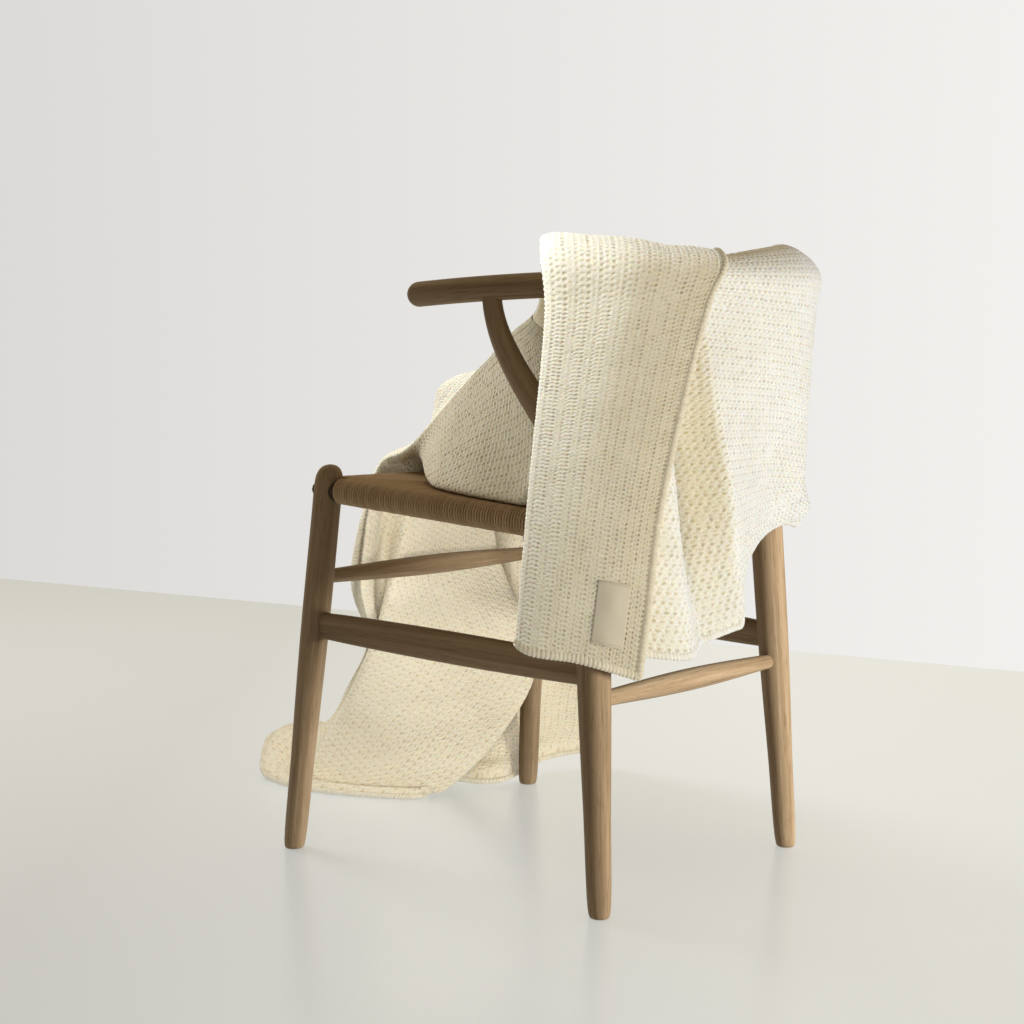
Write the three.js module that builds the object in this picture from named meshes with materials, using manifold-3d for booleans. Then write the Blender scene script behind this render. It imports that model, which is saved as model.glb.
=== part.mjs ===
// A knitted blanket thrown over a plain wooden armchair with a corded seat.
// Millimetres, +Z up. The chair faces -Y, and +X is the sitter's left hand.

import * as THREE from "three";
import { mergeVertices } from "three/addons/utils/BufferGeometryUtils.js";
import Module from "manifold-3d";

const wasm = await Module();
wasm.setup();

// Driving dimensions of the chair
const JOINT_GAP = 0.3;
const ROUND_SIDES = 16;
const FRONT_FOOT = { x: 227, y: -229 };
const FRONT_LEAN = { x: -0.0563, y: 0.0811 };
const REAR_FOOT = { x: 192, y: 229 };
const REAR_LEAN = { x: -0.0353, y: -0.0685 };
const RAIL_RADIUS = 14;
const RAIL_HALF_WIDTH = 259;
const RAIL_TIP = { y: 3, z: 681 };
const RAIL_REAR = { y: 263, z: 694 };
const RAIL_SQUARENESS = 2.4;
const RAIL_STEPS = 40;
const RAIL_END_ANGLE = 2;
const RAIL_END_ROUNDS = [15, 40, 65];
const POST_RAIL_ANGLE = 21;
const SEAT_EDGE_RADIUS = 16;
const SEAT_FRONT = { x: 202, y: -193, z: 451 };
const SEAT_REAR = { x: 177, y: 200 };
const SEAT_SLOPE = -0.0785;
const SEAT_EDGE_TILT = 30;
const SEAT_CORNER_CUT = 14;
const SEAT_CORNER_WRAP = 40;
const SIDE_BOARD = { half_height: 19, half_thickness: 8.5, front_z: 283, rear_z: 268 };
const SIDE_BOARD_TAPER = { end: 0.78, power: 0.6 };
const SIDE_BOARD_SECTIONS = [0, 0.1, 0.25, 0.5, 0.75, 0.9, 1];
const SIDE_BOARD_ROUNDING = 0.6;
const FRONT_SPINDLE = { z: 342, end: 8.5, middle: 13 };
const REAR_SPINDLE = { z: 237, end: 8.5, middle: 13 };
const SPINDLE_STEPS = 8;
const SPINDLE_SWELL_POWER = 1.3;

// Turned profiles: radius at each height
const FRONT_LEG_PROFILE = [
  { z: 0, r: 12 },
  { z: 120, r: 15 },
  { z: 270, r: 17.5 },
  { z: 420, r: 17.5 },
  { z: 466, r: 17 },
  { z: 475, r: 14 },
  { z: 480, r: 8.5 },
  { z: 482, r: 0 },
];
const REAR_POST_PROFILE = [
  { z: 0, r: 11.5 },
  { z: 120, r: 15.5 },
  { z: 260, r: 19 },
  { z: 400, r: 20 },
  { z: 440, r: 19.5 },
  { z: 480, r: 19 },
  { z: 515, r: 18.5 },
  { z: 550, r: 18 },
  { z: 585, r: 16.5 },
  { z: 620, r: 14 },
  { z: 655, r: 11.5 },
  { z: 688, r: 10.5 },
];

// Widest part of the front leg's head, which the cloth passes over
const FRONT_LEG_HEAD = { z: 465, r: 17.5 };

// The rear post leaves its straight line and bends forward and outward to the rail
const POST_BEND = { start_z: 428, end_z: 684 };

// Driving dimensions of the cloth
const CLOTH_THICKNESS = 4;
const SEAT_CLEARANCE = 0.5;
const WOOD_CLEARANCE = 2.5;
const FOLD_ROLL = 9;
const FOLD_ROLL_DEPTH = 12;
const FOLD_ROLL_SHARE = 0.35;
const HANG_SHARE = 0.2;
const FOLD_STEPS = 3;
const ROLL_STEPS = 2;
const WALK_STEP = 0.004;
const LABEL = { width: 40, height: 70, thickness: 1, gap: 0.5, station: 0.78, place: 0.66, steps: 4 };

// Turns at which the cloth passes over the back rail and over the seat's edge
const RAIL_TURNS = [-25, 30, 90, 150, 205];
const EDGE_TURNS = [100, 35];

// Facets along the cloth between one station and the next, from the rear hem to the floor hem
const STATION_STEPS = [2, 5, 2, 2, 2, 2, 5, 4, 5, 2, 3, 3, 4, 3, 2];

// Fold lines of the cloth, in order across it. Each line runs from the rear hem, over the
// back rail, down the inside, along the seat, over the front edge and down to the floor hem.
// hang is a point a little above the rear hem, left out where the cloth hangs straight.
// rail_out and rail_in are angles along the bent rail, rail_reach the distance from its centre,
// rail_rise what is added to it on top. edge is the distance along the seat's edge from its
// front left corner, edge_reach the distance from the edge's centre line.
// A rolled line is the turn of a fold.
const FOLD_LINES = [
  {
    name: "free edge", hem: [163, 259, 262],
    rail_out: 79, rail_in: 91, rail_reach: 38, rail_rise: 0,
    back: [35, 95, 548], seat: [-30, -90, 512], edge: 277, edge_reach: 48, brow: [-75, -332, 345],
    drop: [-150, -362, 205], foot: [-200, -400, 100], floor: [-228, -418, 14], end: [-262, -432, 2],
  },
  {
    name: "panel middle", hem: [226, 226, 285],
    rail_out: 57, rail_in: 60, rail_reach: 46, rail_rise: 0,
    back: [95, 85, 600], seat: [26, -150, 580], edge: 202, edge_reach: 58, brow: [10, -332, 345],
    drop: [-108, -404, 205], foot: [-185, -472, 105], floor: [-222, -500, 14], end: [-252, -530, 2],
  },
  {
    name: "ridge", rolled: true, hem: [272, 173, 305],
    rail_out: 37, rail_in: 35, rail_reach: 45, rail_rise: 3,
    back: [150, 60, 640], seat: [108, -46, 589], edge: 126, edge_reach: 43, brow: [108, -234, 335],
    drop: [-30, -358, 218], foot: [-115, -500, 118], floor: [-140, -566, 54], end: [-150, -608, 38],
  },
  {
    name: "contact", rolled: true, hem: [208, 224, 296],
    rail_out: 49, rail_in: 48, rail_reach: 20, rail_rise: 0,
    back: [180, 102, 447], seat: [163, -45, 458], edge: 152, edge_reach: 28, brow: [-12, -294, 345],
    drop: [-65, -344, 205], foot: [-110, -448, 105], floor: [-94, -535, 60], end: [-72, -588, 50],
  },
  {
    name: "near ridge", rolled: true, hem: [165, 236, 288],
    rail_out: 58, rail_in: 61, rail_reach: 20, rail_rise: 0,
    back: [110, 120, 446], seat: [85, -30, 458], edge: 180, edge_reach: 21, brow: [42, -230, 345],
    drop: [24, -303, 215], foot: [-23, -430, 96], floor: [-18, -502, 16], end: [7, -557, 2],
  },
  {
    name: "near panel", hem: [94, 274, 279],
    rail_out: 67, rail_in: 73, rail_reach: 20, rail_rise: 0,
    back: [40, 130, 445], seat: [10, -20, 470], edge: 257, edge_reach: 21, brow: [-58, -232, 345],
    drop: [-70, -262, 205], foot: [-55, -318, 84], floor: [-14, -372, 12], end: [27, -420, 2],
  },
  {
    name: "far fold", rolled: true, hem: [22, 229, 292],
    rail_out: 76, rail_in: 84, rail_reach: 20, rail_rise: 0,
    back: [-20, 130, 446], seat: [-60, -20, 457], edge: 330, edge_reach: 21, brow: [-162, -232, 345],
    drop: [-194, -184, 190], foot: [-128, -202, 86], floor: [-72, -264, 16], end: [-34, -262, 2],
  },
  {
    name: "hidden valley", rolled: true, hem: [-18, 271, 302],
    rail_out: 86, rail_in: 97, rail_reach: 26, rail_rise: 4,
    back: [-80, 125, 460], seat: [-105, -20, 480], edge: 362, edge_reach: 30, brow: [-118, -284, 345],
    drop: [-132, -276, 200], foot: [-160, -280, 95], floor: [-180, -268, 28], end: [-195, -256, 3],
  },
  {
    name: "corner", hem: [-112, 238, 405],
    rail_out: 108, rail_in: 118, rail_reach: 42, rail_rise: 12,
    back: [-130, 120, 448], seat: [-148, -22, 459], edge: 404, edge_reach: 38, brow: [-222, -254, 345],
    drop: [-232, -270, 205], foot: [-232, -288, 105], floor: [-232, -297, 50], end: [-232, -303, 14],
  },
  {
    name: "pleat", hem: [-210, 226, 400], hang: [-178, 228, 458],
    rail_out: 126, rail_in: 133, rail_reach: 47, rail_rise: 13,
    back: [-175, 105, 470], seat: [-178, -30, 478], edge: 455, edge_reach: 30, brow: [-268, -200, 345],
    drop: [-305, -228, 205], foot: [-310, -250, 105], floor: [-312, -258, 55], end: [-312, -262, 20],
  },
  {
    name: "far edge", hem: [-258, 210, 432], hang: [-222, 192, 470],
    rail_out: 148, rail_in: 146, rail_reach: 30, rail_rise: 8,
    back: [-205, 85, 500], seat: [-204, -10, 462], edge: 500, edge_reach: 24, brow: [-280, -130, 345],
    drop: [-335, -158, 210], foot: [-352, -192, 115], floor: [-364, -206, 65], end: [-372, -215, 28],
  },
];

const WOOD = new THREE.MeshStandardMaterial({ color: 0x8a6848, roughness: 0.55, metalness: 0 });
const CORD = new THREE.MeshStandardMaterial({ color: 0x6f5238, roughness: 0.85, metalness: 0 });
const KNIT = new THREE.MeshStandardMaterial({ color: 0xefe7d0, roughness: 0.95, metalness: 0 });
const TAPE = new THREE.MeshStandardMaterial({ color: 0xe6dcc2, roughness: 0.9, metalness: 0 });

const part = new THREE.Group();

function addPiece(name, geometry, material) {
  const mesh = new THREE.Mesh(geometry, material);
  mesh.name = name;
  part.add(mesh);
  return mesh;
}

// Solids for joining and cutting
function toSolid(geometry) {
  const bare = geometry.clone();
  bare.deleteAttribute("normal");
  bare.deleteAttribute("uv");
  const merged = mergeVertices(bare, 1e-4);
  return new wasm.Manifold(new wasm.Mesh({
    numProp: 3,
    vertProperties: new Float32Array(merged.attributes.position.array),
    triVerts: new Uint32Array(merged.index.array),
  }));
}

function toGeometry(solid) {
  const mesh = solid.getMesh();
  const geometry = new THREE.BufferGeometry();
  geometry.setAttribute("position", new THREE.BufferAttribute(mesh.vertProperties, 3));
  geometry.setIndex(new THREE.BufferAttribute(mesh.triVerts, 1));
  return geometry;
}

function cutBy(geometry, cutters) {
  let solid = toSolid(geometry);
  for (const cutter of cutters) solid = solid.subtract(toSolid(cutter));
  return toGeometry(solid);
}

// A closed body from points and faces, turned to face out by the sign of its volume
function closedBody(points, faces) {
  let volume = 0;
  for (let i = 0; i < faces.length; i += 3) {
    const [a, b, c] = [points[faces[i]], points[faces[i + 1]], points[faces[i + 2]]];
    volume += a.dot(b.clone().cross(c));
  }
  const index = volume > 0 ? faces : [...faces].reverse();
  const geometry = new THREE.BufferGeometry();
  geometry.setFromPoints(points);
  geometry.setIndex(index);
  return geometry;
}

// A closed body through rings of points, each ring the same length, with fan ends
function loftRings(rings) {
  const count = rings[0].length;
  const points = rings.flat();
  const first = points.length;
  const centre = (ring) => ring.reduce((sum, p) => sum.add(p), new THREE.Vector3()).divideScalar(count);
  points.push(centre(rings[0]), centre(rings[rings.length - 1]));
  const faces = [];
  for (let ring = 0; ring + 1 < rings.length; ring += 1) {
    for (let i = 0; i < count; i += 1) {
      const a = ring * count + i;
      const b = ring * count + (i + 1) % count;
      faces.push(a, b, b + count, a, b + count, a + count);
    }
  }
  const last = (rings.length - 1) * count;
  for (let i = 0; i < count; i += 1) {
    const next = (i + 1) % count;
    faces.push(first, next, i);
    faces.push(first + 1, last + i, last + next);
  }
  return closedBody(points, faces);
}

// A turned piece standing on the floor, each height shifted sideways to its centre line
function turnedUpright(profile, centreAt, grow) {
  const outline = [new THREE.Vector2(0, profile[0].z)];
  for (const { z, r } of profile) {
    outline.push(new THREE.Vector2(r > 0 ? r + grow : 0, r > 0 ? z : z + grow));
  }
  if (profile[profile.length - 1].r > 0) outline.push(new THREE.Vector2(0, profile[profile.length - 1].z));
  const geometry = new THREE.LatheGeometry(outline, ROUND_SIDES);
  geometry.rotateX(Math.PI / 2);
  const position = geometry.attributes.position;
  for (let i = 0; i < position.count; i += 1) {
    const centre = centreAt(position.getZ(i));
    position.setX(i, position.getX(i) + centre.x);
    position.setY(i, position.getY(i) + centre.y);
  }
  return geometry;
}

const lerp = THREE.MathUtils.lerp;
const radians = THREE.MathUtils.degToRad;
const flip = (vector, side) => new THREE.Vector3(side * vector.x, vector.y, vector.z);

// Bent back rail: a flat bow from one arm tip round the rear to the other
function railCentre(angle) {
  const c = Math.cos(radians(angle));
  const s = Math.sin(radians(angle));
  const power = 2 / RAIL_SQUARENESS;
  const share = Math.abs(s) ** power;
  return new THREE.Vector3(
    RAIL_HALF_WIDTH * Math.sign(c) * Math.abs(c) ** power,
    lerp(RAIL_TIP.y, RAIL_REAR.y, share),
    lerp(RAIL_TIP.z, RAIL_REAR.z, share),
  );
}

function railOutward(angle) {
  const step = 0.5;
  const along = railCentre(angle + step).sub(railCentre(angle - step));
  return new THREE.Vector3(along.y, -along.x, 0).normalize();
}

function railPoint(angle, turn, reach) {
  const up = new THREE.Vector3(0, 0, Math.sin(radians(turn)) * reach);
  return railCentre(angle).addScaledVector(railOutward(angle), Math.cos(radians(turn)) * reach).add(up);
}

// Point of the rail's centre line nearest to a point
function nearestRailCentre(point) {
  let nearest = railCentre(0);
  for (let angle = 1; angle <= 180; angle += 1) {
    const centre = railCentre(angle);
    if (centre.distanceToSquared(point) < nearest.distanceToSquared(point)) nearest = centre;
  }
  return nearest;
}

function railBody(grow) {
  const radius = RAIL_RADIUS + grow;
  const rings = [];
  const ring = (angle, shrink, push) => {
    const points = [];
    const along = new THREE.Vector3(0, 0, 1).cross(railOutward(angle)).multiplyScalar(push * radius);
    for (let i = 0; i < ROUND_SIDES; i += 1) {
      points.push(railPoint(angle, (360 * i) / ROUND_SIDES, radius * shrink).add(along));
    }
    rings.push(points);
  };
  const [start, end] = [RAIL_END_ANGLE, 180 - RAIL_END_ANGLE];
  for (const round of RAIL_END_ROUNDS) ring(start, Math.sin(radians(round)), -Math.cos(radians(round)));
  for (let i = 0; i <= RAIL_STEPS; i += 1) ring(lerp(start, end, i / RAIL_STEPS), 1, 0);
  for (const round of [...RAIL_END_ROUNDS].reverse()) {
    ring(end, Math.sin(radians(round)), Math.cos(radians(round)));
  }
  return loftRings(rings);
}

function profileRadius(profile, z) {
  const above = profile.findIndex((row) => row.z >= z);
  if (above < 0) return 0;
  if (above === 0) return profile[0].r;
  const [low, high] = [profile[above - 1], profile[above]];
  return THREE.MathUtils.mapLinear(z, low.z, high.z, low.r, high.r);
}

// Legs and posts, on the left for side 1 and on the right for side -1
function frontLegCentre(side, z) {
  return flip({ x: FRONT_FOOT.x + FRONT_LEAN.x * z, y: FRONT_FOOT.y + FRONT_LEAN.y * z, z }, side);
}

function rearPostCentre(side, z) {
  const straight = flip({ x: REAR_FOOT.x + REAR_LEAN.x * z, y: REAR_FOOT.y + REAR_LEAN.y * z, z }, 1);
  const top = railCentre(POST_RAIL_ANGLE);
  const bend = THREE.MathUtils.smoothstep(z, POST_BEND.start_z, POST_BEND.end_z);
  return flip({ x: lerp(straight.x, top.x, bend), y: lerp(straight.y, top.y, bend), z }, side);
}

const frontLeg = (side, grow) => turnedUpright(FRONT_LEG_PROFILE, (z) => frontLegCentre(side, z), grow);
const rearPost = (side, grow) => turnedUpright(REAR_POST_PROFILE, (z) => rearPostCentre(side, z), grow);

// Stretchers run from axis to axis and are then cut back to the legs
function spindle(start, end, size) {
  const length = start.distanceTo(end);
  const outline = [new THREE.Vector2(0, 0)];
  for (let i = 0; i <= SPINDLE_STEPS; i += 1) {
    const share = i / SPINDLE_STEPS;
    const swell = Math.abs(Math.sin(Math.PI * share)) ** SPINDLE_SWELL_POWER;
    outline.push(new THREE.Vector2(lerp(size.end, size.middle, swell), length * share));
  }
  outline.push(new THREE.Vector2(0, length));
  const geometry = new THREE.LatheGeometry(outline, ROUND_SIDES);
  const turn = new THREE.Quaternion().setFromUnitVectors(
    new THREE.Vector3(0, 1, 0),
    end.clone().sub(start).normalize(),
  );
  return geometry.applyQuaternion(turn).translate(start.x, start.y, start.z);
}

function sideBoard(side) {
  const start = frontLegCentre(side, SIDE_BOARD.front_z);
  const end = rearPostCentre(side, SIDE_BOARD.rear_z);
  const across = end.clone().sub(start).cross(new THREE.Vector3(0, 0, 1)).normalize();
  const rings = [];
  const rounded = (wave) => Math.sign(wave) * Math.abs(wave) ** SIDE_BOARD_ROUNDING;
  for (const share of SIDE_BOARD_SECTIONS) {
    const swell = Math.abs(Math.sin(Math.PI * share)) ** SIDE_BOARD_TAPER.power;
    const taper = lerp(SIDE_BOARD_TAPER.end, 1, swell);
    const centre = start.clone().lerp(end, share);
    const ring = [];
    for (let i = 0; i < ROUND_SIDES; i += 1) {
      const angle = (2 * Math.PI * i) / ROUND_SIDES;
      const wide = rounded(Math.cos(angle)) * SIDE_BOARD.half_thickness;
      const up = new THREE.Vector3(0, 0, rounded(Math.sin(angle)) * SIDE_BOARD.half_height * taper);
      ring.push(centre.clone().addScaledVector(across, wide).add(up));
    }
    rings.push(ring);
  }
  return loftRings(rings);
}

// Corded seat: a sloping pad with fully rounded edges
const seatMiddle = (y) => SEAT_FRONT.z + SEAT_SLOPE * (y - SEAT_FRONT.y);

function seatPad() {
  const rings = [];
  const corners = [[-1, SEAT_FRONT], [1, SEAT_FRONT], [1, SEAT_REAR], [-1, SEAT_REAR]];
  for (let tilt = -90; tilt <= 90; tilt += SEAT_EDGE_TILT) {
    const out = SEAT_EDGE_RADIUS * Math.cos(radians(tilt));
    const up = SEAT_EDGE_RADIUS * Math.sin(radians(tilt));
    rings.push(corners.flatMap(([side, corner], k) => {
      const toward = Math.sign(corner.y);
      const x = side * (corner.x + out);
      const y = corner.y + toward * out;
      const onSide = new THREE.Vector2(x, y - toward * SEAT_CORNER_CUT);
      const onEnd = new THREE.Vector2(x - side * SEAT_CORNER_CUT, y);
      const pair = k % 2 === 0 ? [onSide, onEnd] : [onEnd, onSide];
      return pair.map((point) => new THREE.Vector3(point.x, point.y, seatMiddle(point.y) + up));
    }));
  }
  return loftRings(rings);
}

// Point just off the seat's rounded edge, measured along it from the front left corner
function seatEdgePoint(distance, turn, reach) {
  const front = 2 * SEAT_FRONT.x;
  const wrap = THREE.MathUtils.smoothstep(distance, front - SEAT_CORNER_WRAP, front + SEAT_CORNER_WRAP);
  const heading = radians(lerp(270, 180, wrap));
  const outward = new THREE.Vector3(Math.cos(heading), Math.sin(heading), 0);
  const x = Math.max(SEAT_FRONT.x - distance, -SEAT_FRONT.x);
  const y = SEAT_FRONT.y + Math.max(0, distance - front);
  const up = new THREE.Vector3(0, 0, Math.sin(radians(turn)) * reach);
  return new THREE.Vector3(x, y, seatMiddle(y))
    .addScaledVector(outward, Math.cos(radians(turn)) * reach)
    .add(up);
}

// Cloth: fold lines through their stations, then a smooth sheet across the lines
const vector = ([x, y, z]) => new THREE.Vector3(x, y, z);

function stationsOf(line) {
  const first = RAIL_TURNS[0];
  const span = RAIL_TURNS[RAIL_TURNS.length - 1] - first;
  const overRail = RAIL_TURNS.map((turn) => {
    const angle = lerp(line.rail_out, line.rail_in, (turn - first) / span);
    const rise = line.rail_rise * Math.max(0, Math.sin(radians(turn)));
    return railPoint(angle, turn, line.rail_reach + rise);
  });
  const overEdge = EDGE_TURNS.map((turn) => seatEdgePoint(line.edge, turn, line.edge_reach));
  const hem = vector(line.hem);
  const hang = line.hang ? vector(line.hang) : hem.clone().lerp(overRail[0], HANG_SHARE);
  const down = [line.brow, line.drop, line.foot, line.floor, line.end];
  return [hem, hang, ...overRail, vector(line.back), vector(line.seat), ...overEdge, ...down.map(vector)];
}

const foldCurves = FOLD_LINES.map((line) => new THREE.CatmullRomCurve3(stationsOf(line)));

// The turn of a fold: one point on each side of it, so that the cloth rolls round
function rolledFold(before, point, after) {
  const nearest = Math.min(before.distanceTo(point), after.distanceTo(point));
  const size = Math.min(1, (FOLD_ROLL_SHARE * nearest) / FOLD_ROLL_DEPTH);
  const a = before.clone().sub(point).normalize();
  const b = after.clone().sub(point).normalize();
  const apart = a.clone().sub(b);
  const opening = Math.min(0.97, apart.length() / 2);
  const half = size * Math.max(FOLD_ROLL, FOLD_ROLL_DEPTH * opening);
  const deep = size * FOLD_ROLL_DEPTH * Math.sqrt(1 - opening * opening);
  const middle = point.clone().addScaledVector(a.add(b).normalize(), deep);
  apart.normalize();
  return [
    middle.clone().addScaledVector(apart, half),
    point,
    middle.clone().addScaledVector(apart, -half),
  ];
}

// Pushes a point of the cloth's middle surface out of a round body about a core point
function keepOff(point, core, radius) {
  const away = point.clone().sub(core);
  if (away.length() < radius) point.copy(core).addScaledVector(away.normalize(), radius);
}

function clearOfChair(point) {
  const half = CLOTH_THICKNESS / 2;
  const clamp = THREE.MathUtils.clamp;
  const y = clamp(point.y, SEAT_FRONT.y, SEAT_REAR.y);
  const width = THREE.MathUtils.mapLinear(y, SEAT_FRONT.y, SEAT_REAR.y, SEAT_FRONT.x, SEAT_REAR.x);
  const seatCore = new THREE.Vector3(clamp(point.x, -width, width), y, seatMiddle(y));
  keepOff(point, seatCore, SEAT_EDGE_RADIUS + SEAT_CLEARANCE + half);
  keepOff(point, nearestRailCentre(point), RAIL_RADIUS + WOOD_CLEARANCE + half);
  for (const side of [1, -1]) {
    const legCore = frontLegCentre(side, Math.min(point.z, FRONT_LEG_HEAD.z));
    keepOff(point, legCore, FRONT_LEG_HEAD.r + WOOD_CLEARANCE + half);
    const postRadius = profileRadius(REAR_POST_PROFILE, point.z);
    keepOff(point, rearPostCentre(side, point.z), postRadius + WOOD_CLEARANCE + half);
  }
  point.z = Math.max(point.z, half);
  return point;
}

// One section across the cloth at a station: a function of the place across it
function sectionAt(station) {
  const share = station / STATION_STEPS.length;
  const points = foldCurves.map((curve) => clearOfChair(curve.getPoint(share)));
  const knots = points.flatMap((point, i) => (
    FOLD_LINES[i].rolled ? rolledFold(points[i - 1], point, points[i + 1]) : [point]
  ));
  const curve = new THREE.CatmullRomCurve3(knots);
  return (place) => clearOfChair(curve.getPoint(place / (knots.length - 1)));
}

// Places across a section, fewer round the rolls of its folds
function placesAcross() {
  const places = [0];
  const rolledSteps = [ROLL_STEPS, ROLL_STEPS, FOLD_STEPS];
  const steps = FOLD_LINES.flatMap((line) => (line.rolled ? rolledSteps : [FOLD_STEPS]));
  for (let i = 0; i + 1 < steps.length; i += 1) {
    for (let k = 1; k <= steps[i]; k += 1) places.push(i + k / steps[i]);
  }
  return places;
}

function placesAlong() {
  const places = [0];
  STATION_STEPS.forEach((steps, i) => {
    for (let k = 1; k <= steps; k += 1) places.push(i + k / steps);
  });
  return places;
}

function sheetGrid() {
  const across = placesAcross();
  return placesAlong().map((station) => across.map(sectionAt(station)));
}

// Parameter reached by walking a distance along a curve, forward or back
function walk(curve, start, distance) {
  const step = WALK_STEP * Math.sign(distance);
  let at = start;
  let gone = 0;
  while (gone < Math.abs(distance)) {
    gone += curve(at + step).distanceTo(curve(at));
    at += step;
  }
  return at;
}

// A small patch of the sheet round one spot, with sides measured in millimetres
function patchGrid(spot) {
  const shares = Array.from({ length: spot.steps + 1 }, (_, k) => k / spot.steps - 0.5);
  const column = (station) => sectionAt(station)(spot.place);
  return shares.map((up) => {
    const section = sectionAt(walk(column, spot.station, up * spot.height));
    return shares.map((across) => section(walk(section, spot.place, across * spot.width)));
  });
}

function gridNormal(grid, i, j) {
  const clamp = THREE.MathUtils.clamp;
  const at = (a, b) => grid[clamp(a, 0, grid.length - 1)][clamp(b, 0, grid[0].length - 1)];
  const along = at(i + 1, j).clone().sub(at(i - 1, j));
  const across = at(i, j + 1).clone().sub(at(i, j - 1));
  return across.cross(along).normalize();
}

// Gives a grid of points a thickness, closed round its rim
function thickSheet(grid, below, above) {
  const down = grid.length;
  const across = grid[0].length;
  const points = [];
  for (const offset of [above, below]) {
    for (let i = 0; i < down; i += 1) {
      for (let j = 0; j < across; j += 1) {
        points.push(grid[i][j].clone().addScaledVector(gridNormal(grid, i, j), offset));
      }
    }
  }
  const under = down * across;
  const faces = [];
  for (let i = 0; i + 1 < down; i += 1) {
    for (let j = 0; j + 1 < across; j += 1) {
      const a = i * across + j;
      const [b, c, d] = [a + 1, a + across + 1, a + across];
      faces.push(a, b, c, a, c, d);
      faces.push(under + a, under + c, under + b, under + a, under + d, under + c);
    }
  }
  const rim = [];
  for (let j = 0; j + 1 < across; j += 1) rim.push(j);
  for (let i = 0; i + 1 < down; i += 1) rim.push(i * across + across - 1);
  for (let j = across - 1; j > 0; j -= 1) rim.push((down - 1) * across + j);
  for (let i = down - 1; i > 0; i -= 1) rim.push(i * across);
  rim.forEach((a, k) => {
    const b = rim[(k + 1) % rim.length];
    faces.push(a, under + b, b, a, under + a, under + b);
  });
  return closedBody(points, faces);
}

// Chair
for (const [side, hand] of [[1, "left"], [-1, "right"]]) {
  addPiece(`front_leg_${hand}`, toGeometry(toSolid(frontLeg(side, 0))), WOOD);
  addPiece(`rear_post_${hand}`, cutBy(rearPost(side, 0), [railBody(JOINT_GAP)]), WOOD);
  const legs = [frontLeg(side, JOINT_GAP), rearPost(side, JOINT_GAP)];
  addPiece(`side_stretcher_${hand}`, cutBy(sideBoard(side), legs), WOOD);
}
addPiece("back_rail", toGeometry(toSolid(railBody(0))), WOOD);

const bothSides = (make) => [make(1, JOINT_GAP), make(-1, JOINT_GAP)];
addPiece("front_stretcher", cutBy(spindle(
  frontLegCentre(1, FRONT_SPINDLE.z),
  frontLegCentre(-1, FRONT_SPINDLE.z),
  FRONT_SPINDLE,
), bothSides(frontLeg)), WOOD);
addPiece("rear_stretcher", cutBy(spindle(
  rearPostCentre(1, REAR_SPINDLE.z),
  rearPostCentre(-1, REAR_SPINDLE.z),
  REAR_SPINDLE,
), bothSides(rearPost)), WOOD);
addPiece("seat", cutBy(seatPad(), [...bothSides(frontLeg), ...bothSides(rearPost)]), CORD);

// Blanket
addPiece("blanket", thickSheet(sheetGrid(), -CLOTH_THICKNESS / 2, CLOTH_THICKNESS / 2), KNIT);

// Blank label on the outer face of the top layer, near its rear hem
const labelInner = -CLOTH_THICKNESS / 2 - LABEL.gap;
const labelSheet = thickSheet(patchGrid(LABEL), labelInner - LABEL.thickness, labelInner);
addPiece("label", labelSheet, TAPE);

// Origin under the middle of the whole object, on the floor
const box = new THREE.Box3().setFromObject(part);
const middle = box.getCenter(new THREE.Vector3());
part.position.set(-middle.x, -middle.y, -box.min.z);

export default part;
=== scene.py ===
"""Looks of a knitted blanket thrown over a wooden armchair with a corded seat.

Sizes are in millimetres, as in the part's source, and become metres in the row frame at the end.
"""

import math

import bpy
import numpy as np
from mathutils import Matrix, Vector


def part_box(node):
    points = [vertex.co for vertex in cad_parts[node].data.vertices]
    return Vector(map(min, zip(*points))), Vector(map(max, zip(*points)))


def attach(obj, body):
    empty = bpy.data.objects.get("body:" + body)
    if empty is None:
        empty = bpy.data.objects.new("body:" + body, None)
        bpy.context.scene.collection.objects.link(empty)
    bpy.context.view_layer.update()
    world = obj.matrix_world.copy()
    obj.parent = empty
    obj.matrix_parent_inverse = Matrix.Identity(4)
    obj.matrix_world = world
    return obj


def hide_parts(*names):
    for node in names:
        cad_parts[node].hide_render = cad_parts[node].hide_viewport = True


MM = 0.001
STITCH_SIZE = 0.0095
WHITE = (1, 1, 1)
BAKE_MAP = "OFBake"
rng = np.random.default_rng(11)

# Camera, in the part's own axes
CAMERA = {"place": (1631.67, 1340.39, 589.66), "yaw": 40.77, "pitch": 4.54, "roll": 0.32, "lens": 59.52}
SENSOR_WIDTH = 36

# Floor: two points on its far edge, in the part's own axes, its size in metres, and its looks, with painted
# light that makes it darker to one side, and a faint painted glow
FLOOR_FAR_SIDE = [(-1188, -2486), (-1576, -356)]
FLOOR_SIZE = 4.5
FLOOR_LOOK = {"Roughness": 0.24, "Specular IOR Level": 0.5, "Emission Strength": 0.42}
FLOOR_TINTS = [(0.3, (0.616, 0.638, 0.672)), (0.7, (0.646, 0.668, 0.702))]
FLOOR_PAINTED_LIGHT_LEVELS = [(0.0, (0.71,) * 3), (0.5, (0.87,) * 3), (1.0, WHITE)]
FLOOR_PAINTED_GLOW = (0.955, 1.0, 1.0, 1)

# Light from all round, and the wall that shows: colour, the direction it grows towards, by how much, level.
# On the wall this growth is painted light, brighter towards one side
AROUND = {"colour": (1.0, 0.87, 0.64, 1), "towards": (-0.6, -0.52, 0.6), "gain": 0.25, "level": 0.34}
# The wall's gain is painted light on it
WALL = {"colour": (0.80, 0.79, 0.77, 1), "towards": (-0.653, 0.757, 0), "gain": 0.38, "level": 1.0}

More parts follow.
